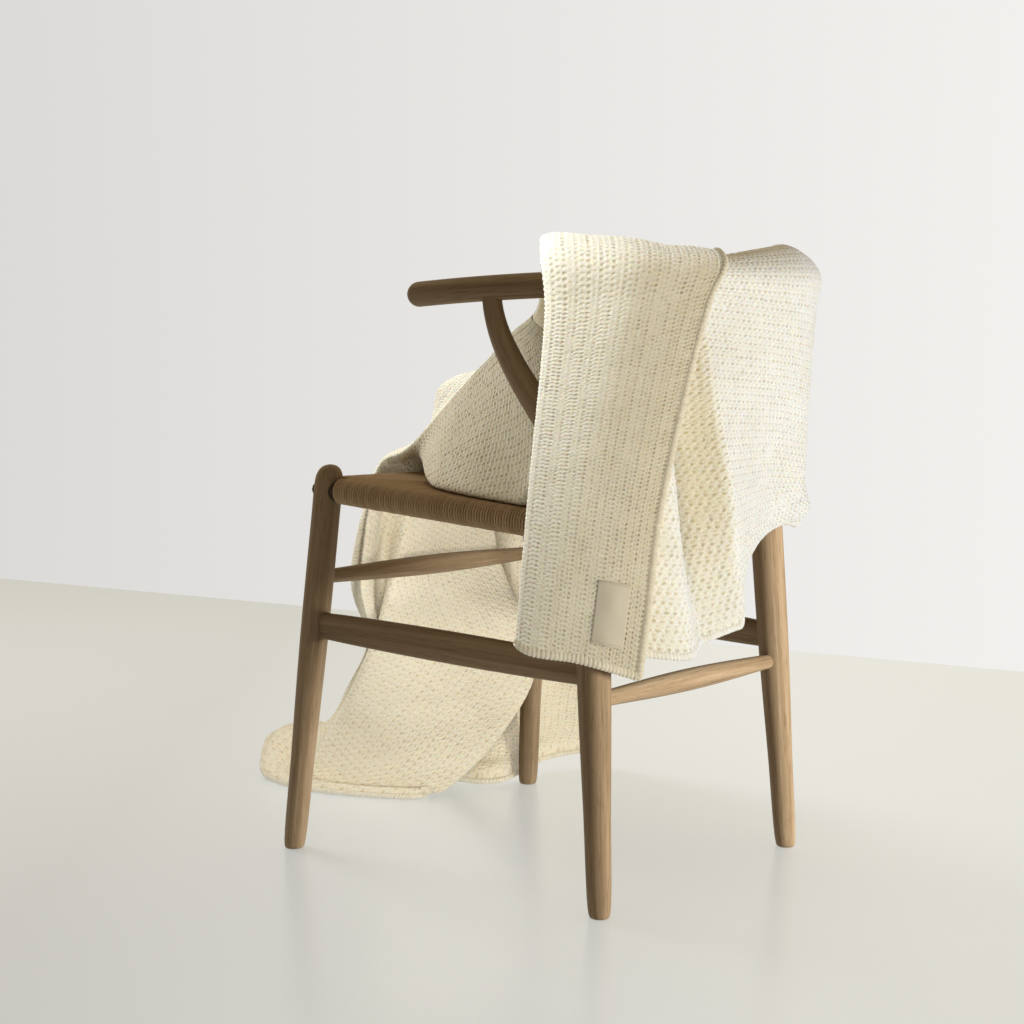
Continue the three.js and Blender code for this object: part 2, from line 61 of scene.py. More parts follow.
# Lamps: name, place and target in metres, width and height, power, colour, the group of pieces that it lights
# (all where there is none), and the group that shades it besides these (all pieces where there is none)
LAMPS = [
    ("far_window", (0.1, -2.0, 2.0), (0.05, 0, 0.5), (1.1, 1.1), 19, (0.97, 0.98, 1.02), None, None),
    ("key", (-0.5, 1.85, 0.22), (0, 0.2, 0.3), (0.5, 0.36), 14.5, (1.0, 0.96, 0.87), "object", None),
    ("low", (1.1, 0.9, 0.25), (-0.05, -0.2, 0.3), (0.5, 0.3), 13.5, (0.98, 0.98, 0.98), "hanging", "seat"),
    ("side", (-0.15, 1.7, 0.3), (0.1, 0.3, 0.3), (0.4, 0.4), 38, (0.92, 1.0, 1.14), "wood", None),
    ("top", (0.68, 0.3, 1.0), (0.27, 0.27, 0.7), (0.2, 0.2), 3.8, (1.0, 1.085, 1.24), "panel", None),
    ("left", (0.35, -0.5, 0.9), (0.1, 0, 0.53), (0.3, 0.3), 2.4, (1.0, 1.02, 1.02), "cloth", None),
    ("glow", (1.1, 1.0, 0.45), (0, 0.4, 0.5), (0.4, 0.4), 5, (1.0, 0.93, 0.70), "rear", "nothing"),
    ("sky", (-0.5, 1.85, 0.22), (0, 0.2, 0.3), (0.5, 0.36), 5.4, (0.5, 1.1, 2.6), "rear", None),
    ("trim", (0.55, 1.35, 0.6), (0.1, 0.4, 0.5), (0.3, 0.3), 2.2, (1, 0.98, 0.94), "trim", None),
]
LAMP_GROUPS = {
    "hanging": ("blanket_drop", "blanket_floor", "floor_hem"),
    "panel": ("blanket_panel", "blanket_panel_front"),
    "rear": ("blanket_rear", "rear_hem"),
    "trim": ("free_edge", "panel_hem"),
    "nothing": (),
}

# Tones of the materials, and the painted shade in their pits, grooves and plies, as stops of colour ramps
WOOD_TONES = [(0.34, (0.146, 0.091, 0.045)), (0.5, (0.218, 0.144, 0.076)), (0.66, (0.294, 0.204, 0.116))]
WOOD_PORES = [(0.60, WHITE), (0.68, (0.66, 0.60, 0.55))]
WOOD_ROUGHNESS = [(0.3, (0.42,) * 3), (0.7, (0.56,) * 3)]
# Random tones of the cords; the darkest stop, at naught, is the painted shade of the core under them
CORD_TONES_AND_CORE_SHADE = [(0.0, (0.07, 0.045, 0.024)), (0.02, (0.52, 0.350, 0.196)), (1.0, (0.66, 0.460, 0.272))]
# Painted shade in the grooves of the cord's twist
CORD_PAINTED_TWIST_SHADE = [(0.1, (0.58, 0.55, 0.52)), (0.6, WHITE)]
KNIT_TONES = [(0.3, (0.790, 0.722, 0.560)), (0.7, (0.850, 0.788, 0.630))]
# Painted shade in the pits of the knit, darker where they are deeper
KNIT_PAINTED_PIT_SHADE = [(0.1, WHITE), (0.8, (0.85, 0.80, 0.69))]
KNIT_FUZZ = [(0.32, (0.84, 0.82, 0.77)), (0.58, WHITE)]
YARN_TONES = [(0.0, (0.800, 0.738, 0.590)), (1.0, (0.870, 0.812, 0.670))]
# Painted shade in the grooves between the plies of the yarn
YARN_PAINTED_PLY_SHADE = [(0.0, (0.80, 0.77, 0.70)), (0.45, WHITE)]
YARN_FUZZ = [(0.32, (0.86, 0.84, 0.79)), (0.58, WHITE)]
TAPE_TONES = [(0.3, (0.72, 0.655, 0.525)), (0.7, (0.80, 0.735, 0.60))]

# Chair
FRONT_FOOT = (227, -229)
FRONT_LEAN = (-0.0563, 0.0811)
REAR_FOOT = (192, 229)
REAR_LEAN = (-0.0353, -0.0685)
RAIL_RADIUS = 14
RAIL_HALF_WIDTH = 259
RAIL_TIP = {"y": 3, "z": 681}
RAIL_REAR = {"y": 263, "z": 694}
RAIL_SQUARENESS = 2.4
RAIL_END_ANGLE = 2
RAIL_RINGS = 121
RAIL_CAP = {"first": 4, "last": 80, "rings": 9}
POST_RAIL_ANGLE = 21
POST_BEND = (428, 684)
SEAT_EDGE_RADIUS = 16
SEAT_FRONT = {"x": 202, "y": -193, "z": 451}
SEAT_REAR = {"x": 177, "y": 200}
SEAT_SLOPE = -0.0785
SEAT_CORNER_WRAP = 40
SIDE_BOARD = {"half_height": 19, "half_thickness": 8.5, "front_z": 283, "rear_z": 268}
SIDE_BOARD_SHAPE = {"end": 0.78, "power": 0.6, "roundness": 0.6, "rings": 41}
SPINDLE = {"end": 8.5, "middle": 13, "power": 1.3, "rings": 49}
FRONT_SPINDLE_Z = 342
REAR_SPINDLE_Z = 237
ROUND_SIDES = 36
RING_STEP = 9
LEAST_RADIUS = 0.1
GRAIN_SPREAD = 200

# Turned profiles: height and radius
FRONT_LEG_PROFILE = [
    (0, 10.5), (1.5, 12), (120, 15), (270, 17.5), (420, 17.5), (462, 17.3),
    (470, 15.9), (476, 13), (480, 8.5), (481.6, 3.6), (482, 0.2),
]
REAR_POST_PROFILE = [
    (0, 10), (1.5, 11.5), (120, 15.5), (260, 19), (400, 20), (440, 19.5), (480, 19), (515, 18.5),
    (550, 18), (585, 16.5), (620, 14), (655, 11.5), (688, 10.5),
]
FRONT_LEG_HEAD = {"z": 465, "r": 17.5}

# Cord of the seat: its run over and under the pad in shares of the way, and the inset of the core in radii
CORD_RADIUS = 1.5
CORD_PITCH = 3.85
CORD_SIDES = 6
CORD_END_DIP = 5
CORD_CORNER = 24
CORD_BENDS = 9
CORD_OVER = (0, 0.02, 0.35, 0.7)
CORD_UNDER = (0.3, 0.65, 0.98, 1)
CORD_UNEVEN = 0.12
CORD_TWIST = 1.2
TWIST_SPREAD = 50
CORE_INSET = 1.6

# Cloth
CLOTH_HALF = 2
SEAT_CLEARANCE = 0.5
WOOD_CLEARANCE = 2.5
FOLD_ROLL = 9
FOLD_ROLL_DEPTH = 12
FOLD_ROLL_SHARE = 0.35
FOLD_OPENING = 0.97
HANG_SHARE = 0.45
SKIRT_SHARE = 0.4
RAIL_TURNS = [-25, 30, 90, 150, 205]
EDGE_TURNS = [100, 35]
COURSE_STEPS = 600
STEPS_PER_KNOT = 30
ROW_STEPS = 4
PANEL_STEPS = 6
REST_STEPS = 4
STITCHES_ALONG = 192
PANEL_STITCHES = 17
REST_STITCHES = 60
PANEL_KNOTS = 3
RELIEF = {"middle": 1.72, "height": 1.2, "crest": 0.23, "uneven": 0.2, "grain": 0.12}
SMOOTH_TIMES = 8
PANEL_WAVES = {"count": 2.2, "height": 1.6, "drift": 0.5, "sway": 5}
SOFT_FLOOR = (162, 190)
SOFT_CORNER = {"along": (4, 26), "across": (61, 68)}
SOFT_TIMES = 70
FLOOR_LIP = {"height": 11, "turn": 14, "fade": (25, 80)}
FLOOR_GAP = {"cloth": 0.3, "edge": 0.1}

# Pits of the knit: depth by face, weight of the rows between the main ones, sharpness, and how far the
# painted shade in the pits and the bump stray from the mesh
PIT_DEPTH = {"outside": 0.8, "inside": 0.9}
PIT_BETWEEN = 0.6
PIT_SHARPNESS = 1.6
PIT_STRAY = 0.15

# Lengths of the cloth as pieces: name, stitches along and across from and to, faces that show
OUTSIDE, INSIDE = -1, 1
ALL_STITCHES = PANEL_STITCHES + REST_STITCHES
TENT_STITCHES = PANEL_STITCHES + 22
CLOTH_PIECES = [
    ("panel", (0, 124), (0, PANEL_STITCHES), (OUTSIDE,)),
    ("rear", (0, 66), (PANEL_STITCHES, ALL_STITCHES), (INSIDE,)),
    ("tent", (66, 124), (PANEL_STITCHES, TENT_STITCHES), (OUTSIDE,)),
    ("seat", (66, 124), (TENT_STITCHES, ALL_STITCHES), (INSIDE,)),
    ("panel_front", (124, 192), (0, PANEL_STITCHES), (OUTSIDE, INSIDE)),
    ("drop", (124, 158), (PANEL_STITCHES, ALL_STITCHES), (OUTSIDE, INSIDE)),
    ("floor", (158, 192), (PANEL_STITCHES, ALL_STITCHES), (OUTSIDE, INSIDE)),
]
BAKE_TILE = {"size": (0.49, 0.98), OUTSIDE: (0.005, 0.01), INSIDE: (0.505, 0.01)}

# Fold lines of the cloth, in order across it, from the rear hem to the floor hem.
# Columns: name, rolled, hem, skirt, hang, rail (out, in, reach, rise), back, seat, edge (distance, reach),
# brow, drop, foot, floor, end.
FOLD_LINES = [
    ("free edge", False, (163, 259, 262), None, (134, 265, 452), (76.5, 95, 38, 0), (35, 95, 548),
     (-30, -90, 512), (277, 48), (-75, -332, 345), (-150, -362, 205), (-200, -400, 100),
     (-228, -418, 14), (-262, -432, 2)),
    ("panel middle", False, (226, 226, 285), None, None, (57, 60, 46, 0), (95, 85, 600), (34, -160, 567),
     (202, 58), (10, -332, 345), (-108, -404, 205), (-185, -472, 105), (-222, -500, 14),
     (-252, -530, 2)),
    ("ridge", True, (272, 173, 305), None, None, (36, 31.5, 45, 4), (150, 60, 640), (114, -53, 573),
     (126, 43), (108, -234, 335), (-30, -358, 218), (-115, -500, 118), (-140, -566, 54),
     (-165, -622, 34)),
    ("contact", True, (208, 224, 296), None, None, (49, 46, 20, 0), (180, 102, 447), (163, -45, 458),
     (152, 36), (26, -274, 345), (-42, -332, 205), (-110, -448, 105), (-94, -535, 60), (-56, -606, 44)),
    ("near ridge", True, (165, 236, 288), None, None, (57, 59, 20, 0), (110, 120, 446), (85, -30, 458),
     (180, 21), (42, -230, 345), (24, -303, 215), (-23, -430, 96), (-18, -500, 5), (14, -543, 3)),
    ("near panel", False, (94, 274, 279), None, None, (64, 70, 20, 0), (40, 130, 445), (10, -20, 470),
     (257, 21), (-58, -232, 345), (-70, -262, 205), (-55, -318, 84), (-12, -376, 4), (24, -430, 3)),
    ("far fold", True, (40, 254, 288), None, (64, 214, 459), (71, 79, 20, 0), (-20, 130, 446),
     (-60, -20, 457), (330, 21), (-162, -232, 345), (-194, -184, 190), (-138, -198, 86), (-80, -256, 6),
     (-46, -270, 3)),
    ("hidden valley", True, (-18, 271, 302), None, (26, 282, 467), (76, 90, 26, 4), (-80, 125, 460),
     (-105, -20, 480), (362, 30), (-118, -284, 345), (-132, -288, 200), (-150, -308, 95),
     (-156, -326, 30), (-152, -336, 6)),
    ("corner", False, (-104, 224, 414), (-112, 242, 404), (-112, 246, 470), (108, 118, 42, 12),
     (-130, 120, 448), (-148, -22, 459), (404, 38), (-222, -254, 345), (-228, -262, 205),
     (-216, -258, 100), (-196, -248, 40), (-172, -246, 6)),
    ("pleat", False, (-226, 220, 402), (-240, 228, 430), (-214, 234, 464), (126, 133, 47, 13),
     (-175, 105, 470), (-178, -30, 478), (455, 30), (-268, -200, 345), (-305, -228, 205),
     (-310, -250, 105), (-312, -258, 55), (-312, -262, 20)),
    ("far edge", False, (-196, 165, 420), (-222, 178, 436), (-204, 182, 474), (148, 146, 30, 8),
     (-205, 85, 500), (-204, -10, 462), (500, 24), (-280, -130, 345), (-335, -158, 210),
     (-352, -192, 115), (-364, -206, 65), (-372, -215, 28)),
]

# Whipped edges of the cloth: spacing of the stitches, half width and half thickness, how far they stand past
# the edge, depth and slant of the grooves between them, points round and along each. For all of them: the rows
# to the point that shows which way is inward, sharpness of the grooves, unevenness, least size at the ends
EDGES = {
    "panel_hem": (4.8, (5.6, 3.4), 1.2, 0.34, 0.2, 12, 6),
    "rear_hem": (4.8, (5.2, 3.3), 1.2, 0.28, 0.3, 10, 6),
    "floor_hem": (4.8, (4.6, 5.6), 3.0, 0.4, 0.2, 12, 6),
    "free_edge": (5.2, (5.6, 4.4), 3.2, 0.32, 1, 10, 5),
    "far_edge": (5.2, (5.6, 4.4), 3.2, 0.32, 1, 10, 5),
}
EDGE_INSET = 4
EDGE_SHARPNESS = 4
EDGE_UNEVEN = 0.02
END_ROUND = 0.02

# Blank label and the stitches at its ends, with the heights of a stitch over the tape
LABEL = {"width": 40, "height": 70, "lift": 2.2, "thickness": 0.5, "steps": 24, "probe": 8}
LABEL_WAVE = {"height": 0.25, "down": 9, "across": 7}
LABEL_STITCH = {
    "length": 2.6, "spacing": 1.5, "start": 1.5, "off": 0.1, "radius": 0.35, "sides": 6, "twist": 0.6,
}
STITCH_ARCH = (-0.3, 0.12, 0.2, 0.12, -0.3)


# Shared helpers
def lerp(a, b, share):
    return a + (b - a) * share


def smoothstep(value, low, high):
    share = np.clip((value - low) / (high - low), 0, 1)
    return share * share * (3 - 2 * share)


def unit(vectors):
    return vectors / np.maximum(np.linalg.norm(vectors, axis=-1, keepdims=True), 1e-9)


def spline(knots, places):
    """Centripetal curve through knots, which lie along the last axis but one, at places counted in knots."""
    count = knots.shape[-2]
    first = 2 * knots[..., :1, :] - knots[..., 1:2, :]
    last = 2 * knots[..., -1:, :] - knots[..., -2:-1, :]
    row = np.concatenate([first, knots, last], axis=-2)
    start = np.minimum(places.astype(int), count - 2)
    share = (places - start)[:, None]
    a, b, c, d = (row[..., start + k, :] for k in range(4))
    ab, bc, cd = (
        np.maximum(np.sqrt(np.linalg.norm(q - p, axis=-1, keepdims=True)), 1e-3)
        for p, q in ((a, b), (b, c), (c, d))
    )
    leave = ((b - a) / ab - (c - a) / (ab + bc) + (c - b) / bc) * bc
    arrive = ((c - b) / bc - (d - b) / (bc + cd) + (d - c) / cd) * bc
    square = 3 * (c - b) - 2 * leave - arrive
    cube = 2 * (b - c) + leave + arrive
    return b + share * (leave + share * (square + share * cube))


def lengths_along(points, axis):
    """Distance gone along one axis of a grid of points."""
    steps = np.linalg.norm(np.diff(points, axis=axis), axis=-1)
    start = np.zeros_like(np.take(steps, [0], axis=axis))
    return np.concatenate([start, np.cumsum(steps, axis=axis)], axis=axis)


def resampled(points, gone, even):
    """A line through points at the distances gone, at other distances."""
    return np.stack([np.interp(even, gone, points[:, axis]) for axis in range(3)], axis=1)


def frame_shift():
    """Where the part's own origin lies in the row frame, in metres."""
    left, right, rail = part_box("front_leg_left"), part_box("front_leg_right"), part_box("back_rail")
    rear = (RAIL_REAR["y"] + RAIL_RADIUS) * MM
    return np.array([(left[1].x + right[0].x) / 2, rail[1].y - rear, 0])


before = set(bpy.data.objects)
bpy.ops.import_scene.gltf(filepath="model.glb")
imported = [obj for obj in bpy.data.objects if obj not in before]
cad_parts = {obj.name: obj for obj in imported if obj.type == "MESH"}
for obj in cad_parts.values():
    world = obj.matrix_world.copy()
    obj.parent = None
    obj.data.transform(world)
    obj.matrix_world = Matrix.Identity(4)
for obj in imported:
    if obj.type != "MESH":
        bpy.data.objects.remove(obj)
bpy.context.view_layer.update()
SHIFT = frame_shift()


def mesh_object(name, points, faces, material, layers, bake=None):
    """A smooth mesh from points in millimetres and faces of one size, with layers and a map on its points."""
    points = np.asarray(points, float).reshape(-1, 3) * MM + SHIFT
    faces = np.asarray(faces, np.int32)
    mesh = bpy.data.meshes.new(name)
    mesh.vertices.add(len(points))
    mesh.vertices.foreach_set("co", points.astype(np.float32).ravel())
    mesh.loops.add(faces.size)
    mesh.loops.foreach_set("vertex_index", faces.ravel())
    mesh.polygons.add(len(faces))
    mesh.polygons.foreach_set("loop_start", np.arange(0, faces.size, faces.shape[1], dtype=np.int32))
    mesh.polygons.foreach_set("use_smooth", np.ones(len(faces), bool))
    mesh.update(calc_edges=True)
    if bake is not None:
        bake_map = mesh.uv_layers.new(name=BAKE_MAP)
        bake_map.uv.foreach_set("vector", bake[faces.ravel()].astype(np.float32).ravel())
    for layer_name, values in layers.items():
        kind, field = ("FLOAT", "value") if values.ndim == 1 else ("FLOAT_VECTOR", "vector")
        attribute = mesh.attributes.new(layer_name, kind, "POINT")
        attribute.data.foreach_set(field, values.astype(np.float32).ravel())
    mesh.validate()
    obj = bpy.data.objects.new(name, mesh)
    bpy.context.scene.collection.objects.link(obj)
    mesh.materials.append(material)
    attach(obj, "root")
    return obj


def grid_faces(rows, columns, wrap=False):
    """Quads between the points of a grid, closed round its columns if wrap is set."""
    down = np.arange(rows - 1)[:, None] * columns
    across = np.arange(columns if wrap else columns - 1)[None, :]
    beside = (across + 1) % columns
    corners = [down + across, down + beside, down + columns + beside, down + columns + across]
    return np.stack([c.ravel() for c in corners], axis=1)


def tubes(paths, binormals, radius, sides):
    """Round tubes along many flat paths of one length. Returns their points and faces."""
    count, rings = paths.shape[:2]
    ahead = unit(np.gradient(paths, axis=1))
    flat = np.broadcast_to(binormals, paths.shape)
    raised = unit(np.cross(ahead, flat))
    turn = (np.arange(sides) * 2 * np.pi / sides)[:, None]
    ring = flat[:, :, None] * radius * np.cos(turn) + raised[:, :, None] * radius * np.sin(turn)
    points = paths[:, :, None] + ring
    one = grid_faces(rings, sides, wrap=True)
    faces = (np.arange(count) * rings * sides)[:, None, None] + one[None]
    return points.reshape(-1, 3), faces.reshape(-1, 4)


# Materials
class Value:
    """What a shader node puts out. Sums and products of it are made by maths nodes in the same tree."""

    def __init__(self, node, output=0):
        self.tree = node.id_data
        self.socket = node.outputs[output]

    def maths(self, operation, other=0.0):
        return Value(add(self.tree, "ShaderNodeMath", {0: self, 1: other}, operation=operation))

    def __add__(self, other):
        return self.maths("ADD", other)

    def __sub__(self, other):
        return self.maths("SUBTRACT", other)

    def __mul__(self, other):
        return self.maths("MULTIPLY", other)


def plug(socket, value):
    """Sets a socket to a constant, or links it from a Value."""
    if isinstance(value, Value):
        value.tree.links.new(value.socket, socket)
    else:
        socket.default_value = value


def add(tree, kind, inputs=None, **settings):
    """A new shader node with its settings, its inputs plugged."""
    node = tree.nodes.new(kind)
    for name, value in settings.items():
        setattr(node, name, value)
    for name, value in (inputs or {}).items():
        plug(node.inputs[name], value)
    return node


def new_material(name, inputs):
    material = bpy.data.materials.new(name)
    material.use_nodes = True
    shader = material.node_tree.nodes["Principled BSDF"]
    for socket, value in inputs.items():
        shader.inputs[socket].default_value = value
    return material, material.node_tree, shader


def layer(tree, name, output="Vector"):
    """A layer of values on the mesh's points."""
    return Value(add(tree, "ShaderNodeAttribute", attribute_name=name), output)


def place_on_object(tree):
    return Value(add(tree, "ShaderNodeTexCoord"), "Object")


def axes_of(vector):
    node = add(vector.tree, "ShaderNodeSeparateXYZ", {"Vector": vector})
    return [Value(node, axis) for axis in "XYZ"]


def reach_along(vector, direction):
    node = add(vector.tree, "ShaderNodeVectorMath", {0: vector, 1: direction}, operation="DOT_PRODUCT")
    return Value(node, "Value")


def ramp(factor, stops):
    """A colour ramp from (place, colour) stops."""
    node = add(factor.tree, "ShaderNodeValToRGB", {"Fac": factor})
    elements = node.color_ramp.elements
    while len(elements) < len(stops):
        elements.new(0.5)
    for element, (place, colour) in zip(elements, stops):
        element.position = place
        element.color = (*colour, 1)
    return Value(node, "Color")


def scaled(vector, scale):
    return Value(add(vector.tree, "ShaderNodeMapping", {"Vector": vector, "Scale": scale}))


def noise(vector, scale, detail, roughness, distortion=0.0):
    return Value(add(vector.tree, "ShaderNodeTexNoise", {
        "Vector": scaled(vector, scale), "Scale": 1.0,
        "Detail": detail, "Roughness": roughness, "Distortion": distortion,
    }), "Fac")


def twisted(vector, inputs):
    """Slanting waves, as of twisted strands."""
    inputs = {"Vector": vector, "Scale": 1.0, **inputs}
    return Value(add(vector.tree, "ShaderNodeTexWave", inputs, bands_direction="DIAGONAL"), "Fac")


def multiplied(colour, *shades):
    """A colour times each of the shades."""
    for shade in shades:
        inputs = {0: 1.0, 6: colour, 7: shade}
        node = add(colour.tree, "ShaderNodeMix", inputs, data_type="RGBA", blend_type="MULTIPLY")
        colour = Value(node, 2)
    return colour


def bump(shader, height, distance, strength):
    inputs = {"Height": height, "Distance": distance, "Strength": strength}
    plug(shader.inputs["Normal"], Value(add(height.tree, "ShaderNodeBump", inputs)))


def wood_material():
    """Smoked oak: broad figure, fine streaks and short open pores along the grain."""
    material, tree, shader = new_material("wood", {"Specular IOR Level": 0.22})
    grain = layer(tree, "grain")
    figure = noise(grain, (70, 70, 2.2), detail=3, roughness=0.5, distortion=0.6)
    streaks = noise(grain, (420, 420, 7), detail=4, roughness=0.6)
    pores = noise(grain, (1100, 1100, 32), detail=2, roughness=0.5)
    colour = ramp(figure * 0.62 + streaks * 0.38, WOOD_TONES)
    plug(shader.inputs["Base Color"], multiplied(colour, ramp(pores, WOOD_PORES)))
    plug(shader.inputs["Roughness"], ramp(streaks, WOOD_ROUGHNESS))
    bump(shader, streaks * 0.35 - pores * 0.65, distance=0.0003, strength=0.5)
    return material


def cord_material():
    """Twisted paper cord, each length a little lighter or darker than the next, with painted shade in the
    grooves of its twist.
    """
    material, tree, shader = new_material("cord", {"Roughness": 0.82, "Specular IOR Level": 0.25})
    twist_at = layer(tree, "twist")
    twist = twisted(twist_at, {"Distortion": 0.6, "Detail": 1.0, "Detail Scale": 2.0})
    fibre = noise(twist_at, (2, 9, 2), detail=3, roughness=0.6)
    base = ramp(layer(tree, "tone", "Fac"), CORD_TONES_AND_CORE_SHADE)
    # The twist's grooves get painted shade
    plug(shader.inputs["Base Color"], multiplied(base, ramp(twist, CORD_PAINTED_TWIST_SHADE)))
    bump(shader, twist + fibre * 0.35, distance=0.0004, strength=0.8)
    return material


def fibre_noise(tree):
    """Fine fuzz of cotton, about a millimetre across."""
    return noise(place_on_object(tree), (620, 620, 620), detail=3, roughness=0.65)


def pits_of_knit(tree):
    """Depth of the pits, in the same pattern as the mesh but finer, a little uneven."""
    weave = layer(tree, "weave")
    groove, along, depth = axes_of(weave)
    stray = noise(weave, (0.9, 1.7, 0), detail=2, roughness=0.5) * (2 * PIT_STRAY) - PIT_STRAY
    groove, along = groove + stray, along + stray
    wave = (groove * (2 * math.pi)).maths("COSINE")
    hollows = []
    for side, rounding, weight in ((wave, "ROUND", 1.0), (wave * -1.0, "FLOOR", PIT_BETWEEN)):
        stagger = groove.maths(rounding).maths("MODULO", 2.0) * math.pi
        bead = ((along * (4 * math.pi) + stagger).maths("COSINE") + 1.0) * 0.5
        pit = side.maths("MAXIMUM", 0.0) * bead
        hollows.append(pit.maths("POWER", PIT_SHARPNESS) * weight)
    return (hollows[0] + hollows[1]) * depth


def knit_material():
    """Soft cream cotton: yarn strands in each stitch, faint fibres, and painted shade that darkens the pits.
    """
    material, tree, shader = new_material("knit", {
        "Roughness": 0.92, "Specular IOR Level": 0.12,
        "Sheen Weight": 0.35, "Sheen Roughness": 0.6, "Sheen Tint": (1.0, 0.97, 0.88, 1),
        "Subsurface Weight": 0.3, "Subsurface Scale": 0.002, "Subsurface Radius": (1.0, 0.62, 0.28),
    })
    stitch = layer(tree, "stitch")
    across, along, _ = axes_of(stitch)
    wobble = noise(stitch, (1.3, 1.3, 1), detail=2, roughness=0.5)
    slope = across.maths("PINGPONG", 0.25) * 7.0
    strands = (along * (4 * math.pi) + wobble * 2.5 + slope).maths("SINE")
    fibres = fibre_noise(tree)
    pit = pits_of_knit(tree)
    base = ramp(noise(stitch, (0.11, 0.13, 0.1), detail=2, roughness=0.5), KNIT_TONES)
    # The pits get painted shade in the colour, besides their bump
    plug(shader.inputs["Base Color"], multiplied(base, ramp(pit, KNIT_PAINTED_PIT_SHADE), ramp(fibres, KNIT_FUZZ)))
    bump(shader, strands * 0.15 + fibres * 0.9 - pit * 1.5, distance=0.001, strength=0.85)
    return material


def yarn_material():
    """The same cotton as a plied yarn, for the edges and the label's stitches, with painted shade between its
    plies.
    """
    material, tree, shader = new_material("yarn", {
        "Roughness": 0.9, "Specular IOR Level": 0.12, "Sheen Weight": 0.3, "Sheen Roughness": 0.6,
    })
    plies = twisted(layer(tree, "twist"), {"Distortion": 0.5, "Detail": 1.0})
    fibres = fibre_noise(tree)
    base = ramp(layer(tree, "tone", "Fac"), YARN_TONES)
    # The grooves between the plies get painted shade
    plug(shader.inputs["Base Color"], multiplied(base, ramp(plies, YARN_PAINTED_PLY_SHADE), ramp(fibres, YARN_FUZZ)))
    bump(shader, plies * 0.4 + fibres, distance=0.0006, strength=0.6)
    return material


def tape_material():
    """A finely woven cotton tape."""
    material, tree, shader = new_material("tape", {"Roughness": 0.8, "Specular IOR Level": 0.2})
    weave = layer(tree, "stitch")
    warp = twisted(scaled(weave, (4, 4, 4)), {})
    slub = noise(weave, (0.6, 3.5, 1), detail=3, roughness=0.6)
    plug(shader.inputs["Base Color"], ramp(slub, TAPE_TONES))
    bump(shader, warp + slub, distance=0.0002, strength=0.6)
    return material


WOOD, CORD, KNIT, YARN, TAPE = (
    make() for make in (wood_material, cord_material, knit_material, yarn_material, tape_material)
)


# Chair
def rail_centre(angle):
    angle = np.asarray(angle, float)
    c, s = np.cos(np.radians(angle)), np.sin(np.radians(angle))
    power = 2 / RAIL_SQUARENESS
    share = np.abs(s) ** power
    return np.stack([
        RAIL_HALF_WIDTH * np.sign(c) * np.abs(c) ** power,
        lerp(RAIL_TIP["y"], RAIL_REAR["y"], share),
        lerp(RAIL_TIP["z"], RAIL_REAR["z"], share),
    ], axis=-1)


def rail_outward(angle):
    along = rail_centre(np.asarray(angle) + 0.5) - rail_centre(np.asarray(angle) - 0.5)
    return unit(np.stack([along[..., 1], -along[..., 0], np.zeros_like(along[..., 0])], axis=-1))


def front_leg_centre(side, z):
    z = np.asarray(z, float)
    x, y = FRONT_FOOT[0] + FRONT_LEAN[0] * z, FRONT_FOOT[1] + FRONT_LEAN[1] * z
    return np.stack([side * x, y, z], axis=-1)


def rear_post_centre(side, z):
    z = np.asarray(z, float)
    top = rail_centre(POST_RAIL_ANGLE)
    bend = smoothstep(z, *POST_BEND)
    x = lerp(REAR_FOOT[0] + REAR_LEAN[0] * z, top[0], bend)
    y = lerp(REAR_FOOT[1] + REAR_LEAN[1] * z, top[1], bend)
    return np.stack([side * x, y, z], axis=-1)


def profile_curve(profile):
    """Heights and radii along a turned profile, smooth between its rows, with two rings or more to a row."""
    rows = np.array(profile, float)
    knots = np.column_stack([rows, np.zeros(len(rows))])
    lengths = np.linalg.norm(np.diff(rows, axis=0), axis=1)
    count = np.maximum(np.round(lengths / RING_STEP), 2).astype(int)
    places = np.concatenate([k + np.arange(n) / n for k, n in enumerate(count)] + [[len(rows) - 1]])
    curve = spline(knots, places)
    return curve[:, 0], np.maximum(curve[:, 1], LEAST_RADIUS)


def wood_loft(node, centres, side_axis, up_axis, half_side, half_up, roundness=1.0):
    """A wooden bar through its sections, its grain along it, its ends closed by fans."""
    turn = np.arange(ROUND_SIDES) * 2 * np.pi / ROUND_SIDES
    wave = np.stack([np.cos(turn), np.sin(turn)])
    c, s = np.sign(wave) * np.abs(wave) ** roundness
    rings = len(centres)
    half_side, half_up = (np.broadcast_to(h, rings)[:, None] for h in (half_side, half_up))
    a, b = c[None] * half_side, s[None] * half_up
    points = centres[:, None] + side_axis[:, None] * a[..., None] + up_axis[:, None] * b[..., None]
    along = lengths_along(centres, 0)[:, None] + np.zeros_like(a)
    grain = np.stack([a, b, along], axis=-1)
    ends = np.stack([points[0].mean(0), points[-1].mean(0)])
    end_grain = np.array([[0, 0, 0], [0, 0, along[-1, 0]]])
    here = np.arange(ROUND_SIDES)
    beside = (here + 1) % ROUND_SIDES
    last = (rings - 1) * ROUND_SIDES
    foot, head = np.full((2, ROUND_SIDES), rings * ROUND_SIDES) + [[0], [1]]
    quads = grid_faces(rings, ROUND_SIDES, wrap=True)
    triangles = np.concatenate([
        quads[:, [0, 1, 2]],
        quads[:, [0, 2, 3]],
        np.column_stack([foot, beside, here]),
        np.column_stack([head, last + here, last + beside]),
    ])
    grain = np.concatenate([grain.reshape(-1, 3), end_grain]) + rng.uniform(-GRAIN_SPREAD, GRAIN_SPREAD, 3)
    points = np.concatenate([points.reshape(-1, 3), ends])
    obj = mesh_object(f"{node}_wood", points, triangles, WOOD, {"grain": grain * MM})
    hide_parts(node)
    return obj


